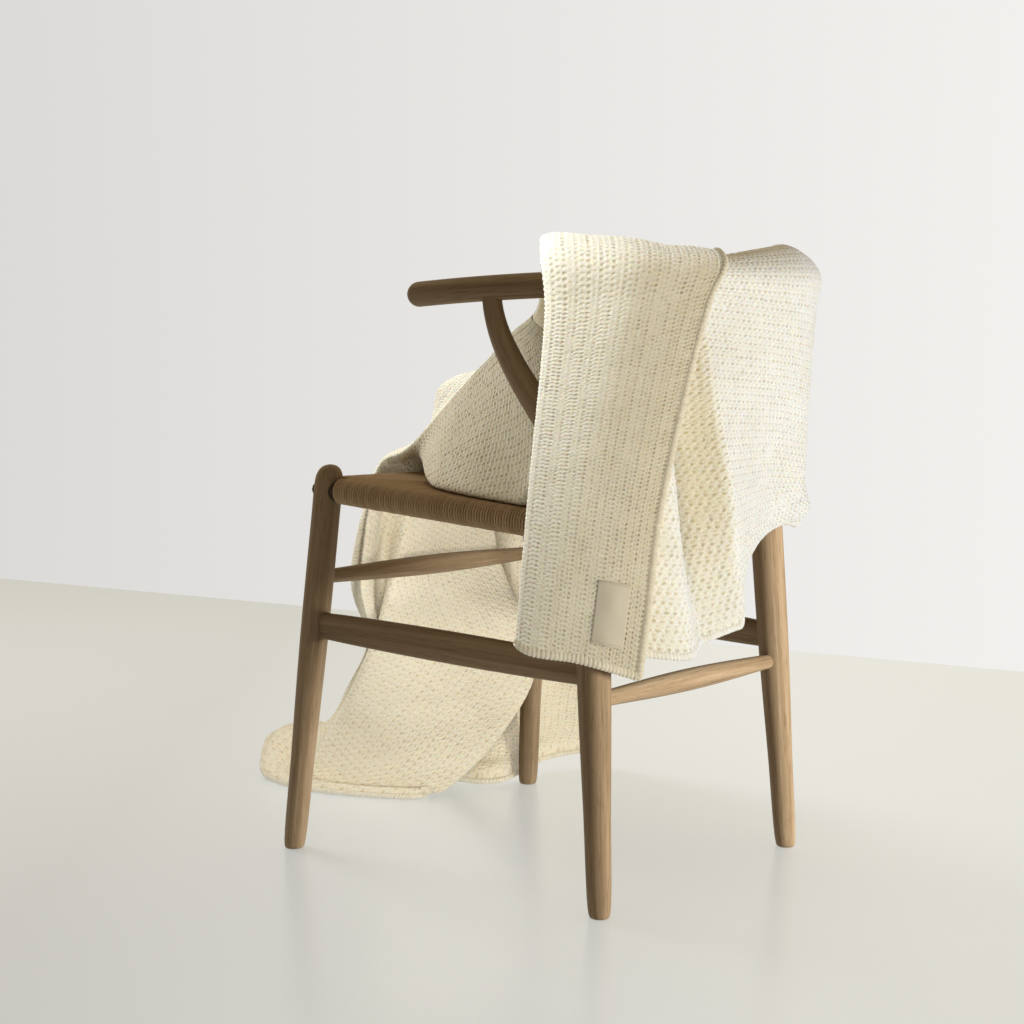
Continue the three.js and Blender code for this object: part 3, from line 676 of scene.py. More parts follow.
def upright(node, profile, centre_at, side):
    heights, radii = profile_curve(profile)
    centres = centre_at(side, heights)
    flat = np.zeros_like(centres)
    return wood_loft(node, centres, flat + (1, 0, 0), flat + (0, 1, 0), radii, radii)


def bar_axes(start, end):
    along = unit(end - start)
    side = unit(np.cross((0, 0, 1), along))
    return side, np.cross(along, side)


def spindle(node, start, end):
    share = np.linspace(0, 1, SPINDLE["rings"])
    centres = lerp(start, end, share[:, None])
    side, up = (np.broadcast_to(axis, centres.shape) for axis in bar_axes(start, end))
    swell = np.sin(np.pi * share).clip(0) ** SPINDLE["power"]
    radius = lerp(SPINDLE["end"], SPINDLE["middle"], swell)
    return wood_loft(node, centres, side, up, radius, radius)


def side_board(node, side):
    start = front_leg_centre(side, SIDE_BOARD["front_z"])
    end = rear_post_centre(side, SIDE_BOARD["rear_z"])
    share = np.linspace(0, 1, SIDE_BOARD_SHAPE["rings"])
    centres = lerp(start, end, share[:, None])
    across = np.broadcast_to(bar_axes(start, end)[0], centres.shape)
    up = np.broadcast_to((0, 0, 1), centres.shape)
    swell = np.sin(np.pi * share).clip(0) ** SIDE_BOARD_SHAPE["power"]
    height = SIDE_BOARD["half_height"] * lerp(SIDE_BOARD_SHAPE["end"], 1, swell)
    thickness = SIDE_BOARD["half_thickness"]
    return wood_loft(node, centres, across, up, thickness, height, SIDE_BOARD_SHAPE["roundness"])


def back_rail():
    angles = np.linspace(RAIL_END_ANGLE, 180 - RAIL_END_ANGLE, RAIL_RINGS)
    rounds = np.radians(np.linspace(RAIL_CAP["first"], RAIL_CAP["last"], RAIL_CAP["rings"]))
    centres = rail_centre(angles)
    outward = rail_outward(angles)
    along = np.cross((0, 0, 1), outward)
    start = centres[0] - along[0] * RAIL_RADIUS * np.cos(rounds)[:, None]
    end = centres[-1] + along[-1] * RAIL_RADIUS * np.cos(rounds[::-1])[:, None]
    caps = RAIL_RADIUS * np.sin(rounds)
    centres = np.concatenate([start, centres, end])
    radius = np.concatenate([caps, np.full(RAIL_RINGS, float(RAIL_RADIUS)), caps[::-1]])
    outward = np.pad(outward, [(len(rounds), len(rounds)), (0, 0)], "edge")
    up = np.broadcast_to((0.0, 0.0, 1.0), centres.shape)
    return wood_loft("back_rail", centres, -outward, up, radius, radius)


def build_wood():
    pieces = []
    for side, hand in ((1, "left"), (-1, "right")):
        pieces.append(upright(f"front_leg_{hand}", FRONT_LEG_PROFILE, front_leg_centre, side))
        pieces.append(upright(f"rear_post_{hand}", REAR_POST_PROFILE, rear_post_centre, side))
        pieces.append(side_board(f"side_stretcher_{hand}", side))
    pieces.append(back_rail())
    for node, centre_at, z in (
        ("front_stretcher", front_leg_centre, FRONT_SPINDLE_Z),
        ("rear_stretcher", rear_post_centre, REAR_SPINDLE_Z),
    ):
        pieces.append(spindle(node, centre_at(1, z), centre_at(-1, z)))
    return pieces


# Corded seat
def seat_middle(y):
    return SEAT_FRONT["z"] + SEAT_SLOPE * (y - SEAT_FRONT["y"])


def seat_half_width(y):
    share = (y - SEAT_FRONT["y"]) / (SEAT_REAR["y"] - SEAT_FRONT["y"])
    return lerp(SEAT_FRONT["x"], SEAT_REAR["x"], share)


def seat_corners():
    """Corners of the seat, in order round it."""
    ends = ((1, SEAT_FRONT), (-1, SEAT_FRONT), (-1, SEAT_REAR), (1, SEAT_REAR))
    return np.array([(side * end["x"], end["y"]) for side, end in ends], float)


def cord_paths():
    """Cords wrapped over each of the four edges, from the diagonal above to the diagonal below."""
    lift = SEAT_EDGE_RADIUS - CORD_RADIUS
    depth = (SEAT_REAR["y"] - SEAT_FRONT["y"]) / 2
    bends = np.radians(np.linspace(90, -90, CORD_BENDS))
    corners = seat_corners()
    paths, rails = [], []
    for a, b in zip(corners, np.roll(corners, -1, axis=0)):
        length = np.linalg.norm(b - a)
        rail = (b - a) / length
        outward = np.array([rail[1], -rail[0]])
        if outward @ (a + b) < 0:
            outward = -outward
        count = int((length - 2 * CORD_CORNER) / CORD_PITCH)
        for place in np.linspace(CORD_CORNER, length - CORD_CORNER, count):
            reach = min(place, length - place) / (length / 2) * depth
            root = a + rail * place
            inner = root - outward * reach
            over = [[*lerp(inner, root, share), lift] for share in CORD_OVER]
            around = [[*(root + outward * np.cos(bend) * lift), np.sin(bend) * lift] for bend in bends]
            under = [[*lerp(root, inner, share), -lift] for share in CORD_UNDER]
            over[0][2] -= CORD_END_DIP
            under[-1][2] += CORD_END_DIP
            path = np.array(over + around + under)
            path[:, 2] += seat_middle(path[:, 1].clip(SEAT_FRONT["y"], SEAT_REAR["y"]))
            paths.append(path)
            rails.append([*rail, 0])
    return np.array(paths), np.array(rails)


def tube_layers(paths, sides, twist_pitch):
    """For each tube a tone of its own, and coordinates that turn with its twist."""
    count, rings = paths.shape[:2]
    tone = np.repeat(rng.uniform(0, 1, count), rings * sides)
    along = lengths_along(paths, 1)[:, :, None] / twist_pitch + rng.uniform(0, TWIST_SPREAD, (count, 1, 1))
    around = np.arange(sides)[None, None, :] / sides
    along, around = np.broadcast_arrays(along, around)
    twist = np.stack([along, np.cos(around * 2 * np.pi), np.zeros_like(along)], axis=-1)
    return {"tone": tone, "twist": twist.reshape(-1, 3)}


def build_seat():
    paths, rails = cord_paths()
    paths[:, :, 2] += rng.normal(0, CORD_UNEVEN, (len(paths), 1))
    points, faces = tubes(paths, rails[:, None], CORD_RADIUS, CORD_SIDES)
    cords = mesh_object("seat_cords", points, faces, CORD, tube_layers(paths, CORD_SIDES, CORD_TWIST))
    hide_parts("seat")
    return [cords, build_seat_core()]


def build_seat_core():
    """The body under the cords, a pad with rounded edges, painted near black as the shade inside the seat."""
    radius = SEAT_EDGE_RADIUS - CORE_INSET * CORD_RADIUS
    outline = seat_corners()[::-1]
    rings = []
    for tilt in np.radians(np.linspace(-90, 90, CORD_BENDS)):
        ring = outline + np.sign(outline) * radius * np.cos(tilt)
        height = seat_middle(outline[:, 1]) + radius * np.sin(tilt)
        rings.append(np.column_stack([ring, height]))
    points = np.concatenate(rings)
    sides = len(outline)
    below, above = np.arange(sides)[::-1], len(points) - sides + np.arange(sides)
    quads = np.concatenate([grid_faces(len(rings), sides, wrap=True), [below, above]])
    # A tone of naught gives the core the darkest stop: painted shade inside the seat
    layers = {"tone": np.zeros(len(points)), "twist": np.zeros((len(points), 3))}
    return mesh_object("seat_core", points, quads, CORD, layers)


# Cloth
def keep_off(points, core, radius):
    """Pushes points out of a round body about its core points."""
    away = points - core
    far = np.linalg.norm(away, axis=-1, keepdims=True)
    return np.where(far < radius, core + away / np.maximum(far, 1e-6) * radius, points)


def nearest_rail_centre(points):
    nearest = np.broadcast_to(rail_centre(0), points.shape).copy()
    least = np.linalg.norm(points - nearest, axis=-1)
    for centre in rail_centre(np.arange(1, 181)):
        far = np.linalg.norm(points - centre, axis=-1)
        closer = far < least
        nearest[closer] = centre
        least = np.where(closer, far, least)
    return nearest


def clear_of_chair(points):
    shape = points.shape
    points = points.reshape(-1, 3).copy()
    y = points[:, 1].clip(SEAT_FRONT["y"], SEAT_REAR["y"])
    width = seat_half_width(y)
    seat_core = np.column_stack([points[:, 0].clip(-width, width), y, seat_middle(y)])
    points = keep_off(points, seat_core, SEAT_EDGE_RADIUS + SEAT_CLEARANCE + CLOTH_HALF)
    high = points[:, 2] > RAIL_TIP["z"] - 3 * RAIL_RADIUS
    rail_reach = RAIL_RADIUS + WOOD_CLEARANCE + CLOTH_HALF
    points[high] = keep_off(points[high], nearest_rail_centre(points[high]), rail_reach)
    heights, radii = np.array(REAR_POST_PROFILE, float)[1:].T
    for side in (1, -1):
        leg = front_leg_centre(side, np.minimum(points[:, 2], FRONT_LEG_HEAD["z"]))
        points = keep_off(points, leg, FRONT_LEG_HEAD["r"] + WOOD_CLEARANCE + CLOTH_HALF)
        post = np.interp(points[:, 2], heights, radii, right=0)[:, None]
        points = keep_off(points, rear_post_centre(side, points[:, 2]), post + WOOD_CLEARANCE + CLOTH_HALF)
    points[:, 2] = np.maximum(points[:, 2], CLOTH_HALF)
    return points.reshape(shape)


def rail_point(angle, turn, reach):
    up = np.array([0, 0, math.sin(math.radians(turn)) * reach])
    return rail_centre(angle) + rail_outward(angle) * math.cos(math.radians(turn)) * reach + up


def seat_edge_point(distance, turn, reach):
    front = 2 * SEAT_FRONT["x"]
    wrap = smoothstep(distance, front - SEAT_CORNER_WRAP, front + SEAT_CORNER_WRAP)
    heading = math.radians(lerp(270, 180, wrap))
    x = max(SEAT_FRONT["x"] - distance, -SEAT_FRONT["x"])
    y = SEAT_FRONT["y"] + max(0, distance - front)
    out, up = math.cos(math.radians(turn)) * reach, math.sin(math.radians(turn)) * reach
    return np.array([x + math.cos(heading) * out, y + math.sin(heading) * out, seat_middle(y) + up])


def stations_of(line):
    _, _, hem, skirt, hang, rail, back, seat, edge, *down = line
    rail_out, rail_in, reach, rise = rail
    first, span = RAIL_TURNS[0], RAIL_TURNS[-1] - RAIL_TURNS[0]
    over_rail = [
        rail_point(lerp(rail_out, rail_in, (turn - first) / span), turn,
                   reach + rise * max(0, math.sin(math.radians(turn))))
        for turn in RAIL_TURNS
    ]
    over_edge = [seat_edge_point(edge[0], turn, edge[1]) for turn in EDGE_TURNS]
    if hang is None:
        hang = lerp(np.array(hem, float), over_rail[0], HANG_SHARE)
    if skirt is None:
        skirt = lerp(np.array(hem, float), np.array(hang, float), SKIRT_SHARE)
    return np.array([hem, skirt, hang, *over_rail, back, seat, *over_edge, *down], float)


def rolled_fold(before, point, after):
    """The turn of a fold: one point on each side of it, so that the cloth rolls round."""
    reach = np.minimum(np.linalg.norm(before - point, axis=-1), np.linalg.norm(after - point, axis=-1))
    size = np.minimum(1, FOLD_ROLL_SHARE * reach / FOLD_ROLL_DEPTH)[:, None]
    a, b = unit(before - point), unit(after - point)
    opening = np.minimum(FOLD_OPENING, np.linalg.norm(a - b, axis=-1, keepdims=True) / 2)
    half = size * np.maximum(FOLD_ROLL, FOLD_ROLL_DEPTH * opening)
    deep = size * FOLD_ROLL_DEPTH * np.sqrt(1 - opening * opening)
    middle = point + unit(a + b) * deep
    apart = unit(a - b)
    return [middle + apart * half, point, middle - apart * half]


def even_places(lengths, count):
    """Places at even distances along a run of lengths."""
    return np.interp(np.linspace(0, lengths[-1], count), lengths, np.arange(len(lengths)))


def sheet_grid(rows, panel_columns, rest_columns):
    """Middle surface of the cloth: rows from the rear hem to the floor hem, and columns that are evenly
    spaced over the top panel, up to the turn of its fold, and over the rest."""
    lines = np.array([stations_of(line) for line in FOLD_LINES])
    fine = np.linspace(0, lines.shape[1] - 1, COURSE_STEPS + 1)
    mean_length = lengths_along(spline(lines, fine), 1).mean(0)
    stations = even_places(mean_length, rows) * fine[1]
    points = clear_of_chair(spline(lines, stations)).transpose(1, 0, 2)
    knots = []
    for k, line in enumerate(FOLD_LINES):
        point = points[:, k]
        knots += rolled_fold(points[:, k - 1], point, points[:, k + 1]) if line[1] else [point]
    knots = np.stack(knots, axis=1)
    spans = knots.shape[1] - 1
    sections = clear_of_chair(spline(knots, np.linspace(0, spans, spans * STEPS_PER_KNOT + 1)))
    gone = lengths_along(sections, 1)
    fold = gone[:, PANEL_KNOTS * STEPS_PER_KNOT]
    grid = np.empty((rows, panel_columns + rest_columns + 1, 3))
    for r in range(rows):
        even = np.concatenate([
            np.linspace(0, fold[r], panel_columns, endpoint=False),
            np.linspace(fold[r], gone[r, -1], rest_columns + 1),
        ])
        grid[r] = resampled(sections[r], gone[r], even)
    return grid


def smoothed(grid):
    """Eases small kinks inside the cloth, its rim kept."""
    for _ in range(SMOOTH_TIMES):
        beside = grid[:-2, 1:-1] + grid[2:, 1:-1] + grid[1:-1, :-2] + grid[1:-1, 2:]
        slanting = grid[:-2, :-2] + grid[:-2, 2:] + grid[2:, :-2] + grid[2:, 2:]
        grid[1:-1, 1:-1] = (4 * grid[1:-1, 1:-1] + 2 * beside + slanting) / 16
    return grid


def waved(grid):
    """Soft lengthwise waves in the top panel."""
    panel = np.s_[:, :column_of(PANEL_STITCHES) + 1]
    rows, columns = grid[panel].shape[:2]
    share = np.linspace(0, 1, columns)
    drift = PANEL_WAVES["drift"] * np.sin(np.linspace(0, PANEL_WAVES["sway"], rows))[:, None]
    wave = np.sin(2 * np.pi * (PANEL_WAVES["count"] * share + drift)) * np.sin(np.pi * share)
    grid[panel] += grid_normals(grid)[panel] * (PANEL_WAVES["height"] * wave)[..., None]
    return grid


def softened(grid):
    """Rounds the folds where the cloth lies on the floor, and the rolled corner behind."""
    rows, columns = grid.shape[:2]
    row, column = np.arange(rows)[:, None] / ROW_STEPS, np.arange(columns)[None, :]
    first, last = (column_of(stitch) for stitch in SOFT_CORNER["across"])
    corner = (1 - smoothstep(row, *SOFT_CORNER["along"])) * smoothstep(column, first, last)
    weight = np.maximum(smoothstep(row, *SOFT_FLOOR), corner)[:, 1:-1, None]
    for _ in range(SOFT_TIMES):
        grid[:, 1:-1] += weight * ((grid[:, :-2] + grid[:, 2:]) / 4 - grid[:, 1:-1] / 2)
    return grid


def lipped(grid):
    """Lifts the cloth just inside its floor hem, so that the hem turns down to the floor."""
    gone = lengths_along(grid[::-1, grid.shape[1] // 2], 0)[::-1]
    rise = smoothstep(gone, 0, FLOOR_LIP["turn"]) * (1 - smoothstep(gone, *FLOOR_LIP["fade"]))
    grid[..., 2] += FLOOR_LIP["height"] * rise[:, None]
    return grid


def grid_normals(grid):
    return unit(np.cross(np.gradient(grid, axis=1), np.gradient(grid, axis=0)))


def pit_rows(groove, along, depth):
    """Depth of the pits of the knit: a row of them in each groove and a weaker row between, all staggered."""
    wave = np.cos(2 * np.pi * groove)
    hollow = np.zeros_like(groove)
    for turned, row, weight in ((wave, np.round(groove), 1), (-wave, np.floor(groove), PIT_BETWEEN)):
        bead = 0.5 + 0.5 * np.cos(4 * np.pi * along + np.pi * (row % 2))
        hollow += weight * (np.maximum(turned, 0) * bead) ** PIT_SHARPNESS
    return depth * hollow


def above_floor(points, gap):
    points[..., 2] = np.maximum(points[..., 2], gap)
    return points


def cloth_side(grid, normals, side, stitch, weave):
    """One face of the cloth with the knit's relief, and the same face plain."""
    relief = RELIEF["crest"] - pit_rows(*weave)
    relief += rng.normal(0, RELIEF["grain"], relief.shape)
    height = side * (RELIEF["middle"] + RELIEF["height"] * relief)
    points = above_floor(grid + normals * height[..., None], FLOOR_GAP["cloth"])
    plain = above_floor(grid + normals * (side * RELIEF["middle"]), FLOOR_GAP["cloth"])
    return {
        "points": points, "normals": grid_normals(points) * side, "weave": np.stack(weave, axis=-1),
        "plain": plain, "plain_normals": normals * side, "stitch": stitch,
    }


def build_blanket():
    rows = STITCHES_ALONG * ROW_STEPS + 1
    fold = column_of(PANEL_STITCHES)
    grid = sheet_grid(rows, fold, REST_STITCHES * REST_STEPS)
    grid = clear_of_chair(lipped(softened(waved(smoothed(grid)))))
    normals = grid_normals(grid)
    column = np.arange(grid.shape[1])
    across = np.where(column < fold, column / PANEL_STEPS, PANEL_STITCHES + (column - fold) / REST_STEPS)
    v, u = np.meshgrid(np.arange(rows) / ROW_STEPS, across, indexing="ij")
    uneven = 1 + RELIEF["uneven"] * rng.normal(0, 1, (STITCHES_ALONG + 1, ALL_STITCHES + 1))
    uneven = uneven[np.round(v).astype(int), np.round(u).astype(int)]
    weaves = {
        OUTSIDE: (u, np.where(u <= PANEL_STITCHES, v, v / 2), PIT_DEPTH["outside"] * uneven),
        INSIDE: (v, u / 2, PIT_DEPTH["inside"] * uneven),
    }
    sides = {}
    for side, weave in weaves.items():
        stitch = np.stack([u + 2 * ALL_STITCHES * (side == INSIDE), v, np.zeros_like(u)], axis=-1)
        sides[side] = cloth_side(grid, normals, side, stitch, weave)
    return grid, normals, [cloth_piece(*piece, sides) for piece in CLOTH_PIECES]


def column_of(stitch):
    """Mesh column at which a stitch across the cloth begins."""
    panel = min(stitch, PANEL_STITCHES)
    return panel * PANEL_STEPS + (stitch - panel) * REST_STEPS


def sheet_triangles(rows, columns):
    """Triangles over a grid, their diagonals turned in alternate squares."""
    a, b, c, d = grid_faces(rows, columns).T
    j, i = np.mgrid[0:rows - 1, 0:columns - 1]
    even = ((i + j) % 2 == 0).ravel()[:, None]
    first = np.where(even, np.column_stack([a, b, c]), np.column_stack([a, b, d]))
    second = np.where(even, np.column_stack([a, c, d]), np.column_stack([b, c, d]))
    return np.concatenate([first, second])


def rim_of(rows, columns):
    """Points round a grid's rim: its four sides in order, each from one corner to the next."""
    return [
        np.arange(columns), np.arange(rows) * columns + columns - 1,
        (rows - 1) * columns + np.arange(columns)[::-1], np.arange(rows)[::-1] * columns,
    ]


def rim_band(rim_a, rim_b):
    """Triangles between two rims. A side may have a whole number of times the steps of the side beside it."""
    if len(rim_a[0]) < len(rim_b[0]):
        return rim_band(rim_b, rim_a)[:, ::-1]
    bands = []
    for a, b in zip(rim_a, rim_b):
        times = (len(a) - 1) // (len(b) - 1)
        bands.append(np.column_stack([a[:-1], a[1:], np.repeat(b[:-1], times)]))
        bands.append(np.column_stack([a[times::times], b[1:], b[:-1]]))
    return np.concatenate(bands)


def cloth_piece(name, along, across, shown, sides):
    """One length of the cloth with both its faces, closed round its rim. A face that never shows is plain."""
    rows = slice(along[0] * ROW_STEPS, along[1] * ROW_STEPS + 1)
    columns = slice(column_of(across[0]), column_of(across[1]) + 1)
    column_steps = PANEL_STEPS if across[1] <= PANEL_STITCHES else REST_STEPS
    parts = {"points": [], "normals": [], "weave": [], "stitch": [], "bake": []}
    faces, rims = [], []
    start = 0
    for side in (OUTSIDE, INSIDE):
        fine = side in shown
        down, over = (1, 1) if fine else (ROW_STEPS, column_steps)
        picked = {key: values[rows, columns][::down, ::over] for key, values in sides[side].items()}
        count = picked["points"].shape[:2]
        triangles = sheet_triangles(*count)
        faces.append(start + (triangles if side == INSIDE else triangles[:, ::-1]))
        rims.append([start + rim for rim in rim_of(*count)])
        parts["points"].append(picked["points" if fine else "plain"].reshape(-1, 3))
        parts["normals"].append(picked["normals" if fine else "plain_normals"].reshape(-1, 3))
        parts["weave"].append(picked["weave"].reshape(-1, 3) * (1, 1, fine))
        parts["stitch"].append(picked["stitch"].reshape(-1, 3))
        share = np.stack(np.meshgrid(np.linspace(0, 1, count[1]), np.linspace(0, 1, count[0])), axis=-1)
        parts["bake"].append(share.reshape(-1, 2) * BAKE_TILE["size"] + BAKE_TILE[side])
        start += count[0] * count[1]
    faces.append(rim_band(*rims))
    parts = {key: np.concatenate(values) for key, values in parts.items()}
    layers = {"stitch": parts["stitch"], "weave": parts["weave"]}
    points, faces = parts["points"], np.concatenate(faces)
    obj = mesh_object(f"blanket_{name}", points, faces, KNIT, layers, parts["bake"])
    obj.data.normals_split_custom_set_from_vertices(parts["normals"])
    return obj


def whipped_edge(name, edge, inward, normal):
    """An edge of the cloth, rolled and whipped round with yarn, stitch beside stitch."""
    pitch, (width, thickness), past, groove, slant, sides, rings = EDGES[name]
    gone = lengths_along(edge, 0)
    even = np.linspace(0, gone[-1], int(gone[-1] / pitch * rings))
    root, inward, normal = (resampled(values, gone, even) for values in (edge, inward, normal))
    turn = np.arange(sides) * 2 * np.pi / sides
    phase = 2 * np.pi * even[:, None] / pitch + slant * turn
    swell = 1 - groove * np.maximum(np.cos(phase), 0) ** EDGE_SHARPNESS
    swell += rng.normal(0, EDGE_UNEVEN, phase.shape)
    to_end = np.minimum(even, even[-1] - even) / width
    swell *= np.sqrt(1 - (1 - to_end.clip(END_ROUND, 1)) ** 2)[:, None]
    around = (
        unit(inward)[:, None] * (width * np.cos(turn))[:, None]
        - unit(normal)[:, None] * (thickness * np.sin(turn))[:, None]
    )
    points = (root + unit(inward) * (width - past))[:, None] + around * swell[..., None]
    still = np.zeros_like(phase)
    tone = np.repeat(rng.uniform(0, 1, len(even) // rings + 1), rings)[:len(even)]
    layers = {
        "tone": np.repeat(tone, sides),
        "twist": np.stack([phase / np.pi, still, still], axis=-1).reshape(-1, 3),
    }
    points = above_floor(points, FLOOR_GAP["edge"])
    return mesh_object(name, points, grid_faces(len(even), sides, wrap=True), YARN, layers)


def build_edges(grid, normals):
    """Whipped edges all round, the top panel's hem apart from the rest of its side."""
    fold = column_of(PANEL_STITCHES)
    far = -1 - EDGE_INSET
    places = {
        "panel_hem": (np.s_[0, :fold + 1], np.s_[EDGE_INSET, :fold + 1]),
        "rear_hem": (np.s_[0, fold:], np.s_[EDGE_INSET, fold:]),
        "floor_hem": (np.s_[-1, :], np.s_[far, :]),
        "free_edge": (np.s_[:, 0], np.s_[:, EDGE_INSET]),
        "far_edge": (np.s_[:, -1], np.s_[:, far]),
    }
    return [
        whipped_edge(name, grid[edge], grid[inner] - grid[edge], normals[edge])
        for name, (edge, inner) in places.items()
    ]


def build_label(grid, normals):
    """A blank tape on the outer face, where the CAD label lies, with a few small stitches at its ends."""
    low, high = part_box("label")
    middle = (np.array((low + high) / 2) - SHIFT) / MM
    row, column = np.unravel_index(np.linalg.norm(grid - middle, axis=-1).argmin(), grid.shape[:2])
    probe = LABEL["probe"]
    step_down = np.linalg.norm(grid[row + probe, column] - grid[row - probe, column]) / (2 * probe)
    step_across = np.linalg.norm(grid[row, column + probe] - grid[row, column - probe]) / (2 * probe)
    share = np.linspace(-0.5, 0.5, LABEL["steps"] + 1)
    at_row = row + share * LABEL["height"] / step_down
    at_column = column + share * LABEL["width"] / step_across
    patch = sampled(grid, at_row, at_column)
    off = -sampled(normals, at_row, at_column)
    wave = np.outer(np.sin(LABEL_WAVE["down"] * share), np.cos(LABEL_WAVE["across"] * share))
    lift = LABEL["lift"] + LABEL_WAVE["height"] * wave
    top = patch + off * (lift + LABEL["thickness"])[..., None]
    under = patch + off * lift[..., None]
    count = len(share)
    quads = grid_faces(count, count)
    base = count * count
    rim = [np.column_stack([a[:-1], a[1:], base + a[1:], base + a[:-1]]) for a in rim_of(count, count)]
    faces = np.concatenate([quads[:, ::-1], quads + base, *rim])
    across, down = np.meshgrid(share * LABEL["width"], share * LABEL["height"])
    weave = np.stack([across, down, np.zeros_like(across)], axis=-1).reshape(-1, 3)
    points = np.concatenate([top.reshape(-1, 3), under.reshape(-1, 3)])
    obj = mesh_object("label_tape", points, faces, TAPE, {"stitch": np.concatenate([weave, weave])})
    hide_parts("label")
    return [obj, label_stitches(top, off)]


def label_stitches(top, off):
    """Short running stitches just inside the two ends of the label."""
    length, sides = LABEL_STITCH["length"], LABEL_STITCH["sides"]
    paths, rails = [], []
    for row in (1, -2):
        line = top[row] + off[row] * LABEL_STITCH["off"]
        outward = off[row].mean(0)
        gone = lengths_along(line, 0)
        for start in np.arange(LABEL_STITCH["start"], gone[-1] - length, length * LABEL_STITCH["spacing"]):
            path = resampled(line, gone, start + np.linspace(0, length, len(STITCH_ARCH)))
            paths.append(path + np.outer(STITCH_ARCH, outward))
            rails.append(unit(np.cross(path[-1] - path[0], outward)))
    paths, rails = np.array(paths), np.array(rails)
    points, faces = tubes(paths, rails[:, None], LABEL_STITCH["radius"], sides)
    layers = tube_layers(paths, sides, LABEL_STITCH["twist"])
    return mesh_object("label_stitches", points, faces, YARN, layers)


def sampled(grid, at_row, at_column):
    """Values of a grid at fractional rows and columns."""
    r, c = np.floor(at_row).astype(int), np.floor(at_column).astype(int)
    down, across = (at_row - r)[:, None, None], (at_column - c)[None, :, None]
    above, below = (
        lerp(grid[row[:, None], c[None, :]], grid[row[:, None], c[None, :] + 1], across) for row in (r, r + 1)
    )
    return lerp(above, below, down)


# Stage
def add_camera():
    yaw, pitch, roll = (math.radians(CAMERA[key]) for key in ("yaw", "pitch", "roll"))
    back = Vector((math.cos(yaw) * math.cos(pitch), math.sin(yaw) * math.cos(pitch), math.sin(pitch)))
    right = Vector((0, 0, 1)).cross(back).normalized()
    up = back.cross(right)
    turn = Matrix((right, up, back)).transposed() @ Matrix.Rotation(roll, 3, "Z")
    data = bpy.data.cameras.new("camera")
    data.lens, data.sensor_width = CAMERA["lens"], SENSOR_WIDTH
    camera = bpy.data.objects.new("camera", data)
    place = Vector(np.array(CAMERA["place"]) * MM + SHIFT)
    camera.matrix_world = Matrix.Translation(place) @ turn.to_4x4()
    bpy.context.scene.collection.objects.link(camera)
    bpy.context.scene.camera = camera


def add_floor():
    """A pale, slightly glossy floor, with painted light that makes it darker to one side as the wall is, and a
    faint painted glow.
    """
    material, tree, shader = new_material("pale_floor", FLOOR_LOOK)
    at = place_on_object(tree)
    tint = ramp(noise(at, (0.8, 0.8, 0.8), detail=3, roughness=0.5), FLOOR_TINTS)
    # Painted light: the floor is darker towards one side
    level = ramp(reach_along(at, WALL["towards"]) + 0.5, FLOOR_PAINTED_LIGHT_LEVELS)
    plug(shader.inputs["Base Color"], multiplied(tint, level))
    # Painted glow, strongest where the painted light is
    plug(shader.inputs["Emission Color"], multiplied(level, FLOOR_PAINTED_GLOW))
    mesh = bpy.data.meshes.new("floor")
    a, b = (np.array(point) * MM + SHIFT[:2] for point in FLOOR_FAR_SIDE)
    along = (b - a) / np.linalg.norm(b - a)
    near = np.array([along[1], -along[0]]) * FLOOR_SIZE
    far_left, far_right = a - along * FLOOR_SIZE / 2, b + along * FLOOR_SIZE / 2
    corners = [far_left, far_left + near, far_right + near, far_right]
    mesh.from_pydata([(x, y, 0) for x, y in corners], [], [(0, 1, 2, 3)])
    mesh.materials.append(material)
    floor = bpy.data.objects.new("floor", mesh)
    bpy.context.scene.collection.objects.link(floor)


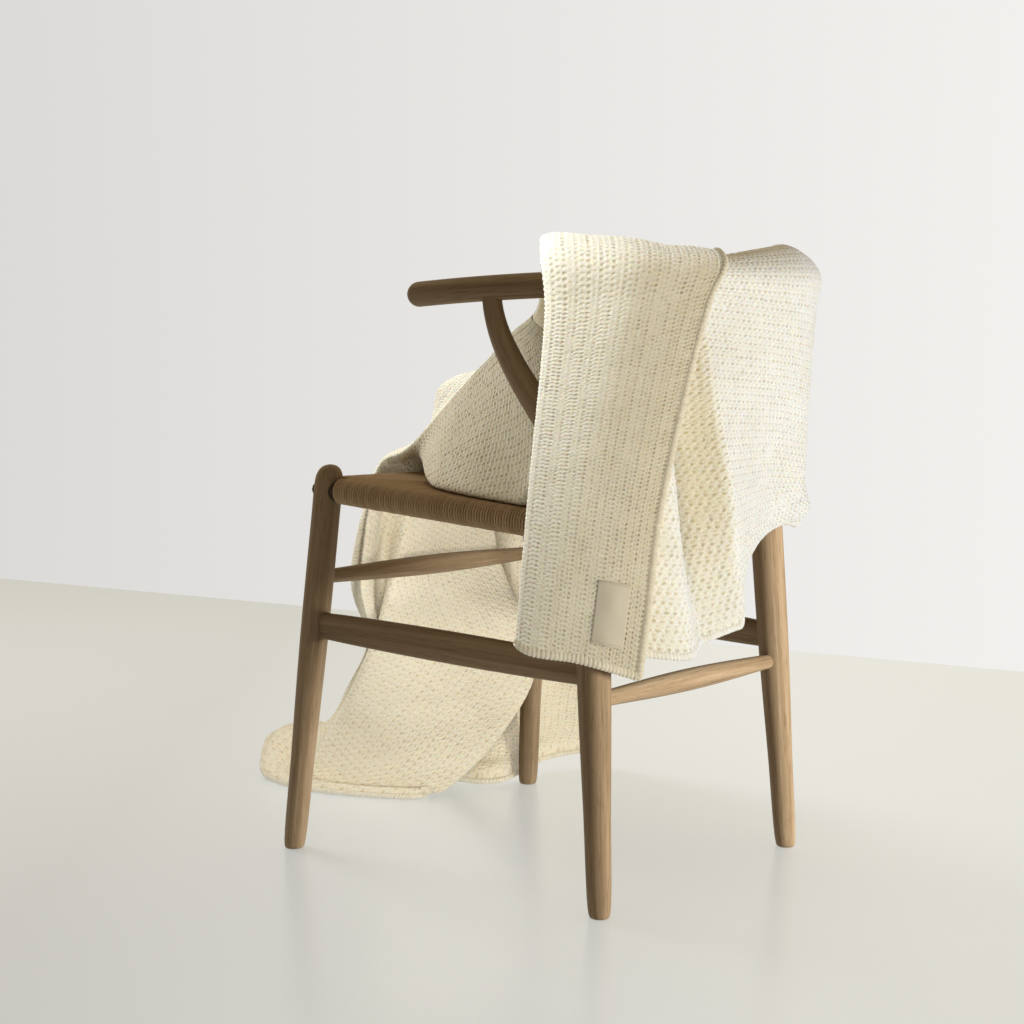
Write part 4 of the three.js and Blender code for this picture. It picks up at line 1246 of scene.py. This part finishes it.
def add_world():
    """Light from all round, and a wall that shows behind the object without lighting it, with painted light
    that makes it brighter towards one side.
    """
    world = bpy.data.worlds.new("studio")
    world.use_nodes = True
    tree = world.node_tree
    light, wall = tree.nodes["Background"], add(tree, "ShaderNodeBackground")
    towards = Value(add(tree, "ShaderNodeTexCoord"), "Generated")
    for background, look in ((light, AROUND), (wall, WALL)):
        background.inputs["Color"].default_value = look["colour"]
        strength = reach_along(towards, look["towards"]) * look["gain"] + look["level"]
        plug(background.inputs["Strength"], strength)
    seen = Value(add(tree, "ShaderNodeLightPath"), "Is Camera Ray")
    both = add(tree, "ShaderNodeMixShader", {0: seen, 1: Value(light), 2: Value(wall)})
    plug(tree.nodes["World Output"].inputs["Surface"], Value(both))
    bpy.context.scene.world = world
    bpy.context.scene.view_settings.view_transform = "Standard"


def add_area_light(name, place, target, size, power, colour):
    data = bpy.data.lights.new(name, "AREA")
    data.shape = "RECTANGLE"
    data.size, data.size_y = size
    data.energy, data.color = power, colour
    light = bpy.data.objects.new(name, data)
    light.visible_glossy = False
    aim = Vector(target) - Vector(place)
    light.matrix_world = Matrix.Translation(Vector(place)) @ aim.to_track_quat("-Z", "Y").to_matrix().to_4x4()
    bpy.context.scene.collection.objects.link(light)
    return light


def collection_of(name, pieces):
    """A collection outside the scene, for a light to name the pieces that it reaches or that shade it."""
    collection = bpy.data.collections.new(name)
    for piece in pieces:
        collection.objects.link(piece)
    return collection


def add_lamps(groups):
    """Adds the lamps, each for its own group of pieces."""
    for group, names in LAMP_GROUPS.items():
        groups[group] = [bpy.data.objects[name] for name in names]
    for name, place, target, size, power, colour, lit, shade in LAMPS:
        linking = add_area_light(name, place, target, size, power, colour).light_linking
        if lit:
            linking.receiver_collection = collection_of(f"{name}_lit", groups[lit])
        if shade:
            linking.blocker_collection = collection_of(f"{name}_shade", groups[lit] + groups[shade])


add_camera()
add_floor()
add_world()
wood = build_wood()
seat = build_seat()
cloth_grid, cloth_normals, cloth = build_blanket()
edges = build_edges(cloth_grid, cloth_normals)
label = build_label(cloth_grid, cloth_normals)
add_lamps({"object": wood + seat + cloth + edges + label, "wood": wood, "seat": seat, "cloth": cloth + edges})
for piece in cloth:
    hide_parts("blanket")
for piece, (name, along, across, _) in zip(cloth, CLOTH_PIECES):
    flat = ((across[1] - across[0]) * STITCH_SIZE, (along[1] - along[0]) * STITCH_SIZE)
    [*edges, *label] if name == "panel" else []
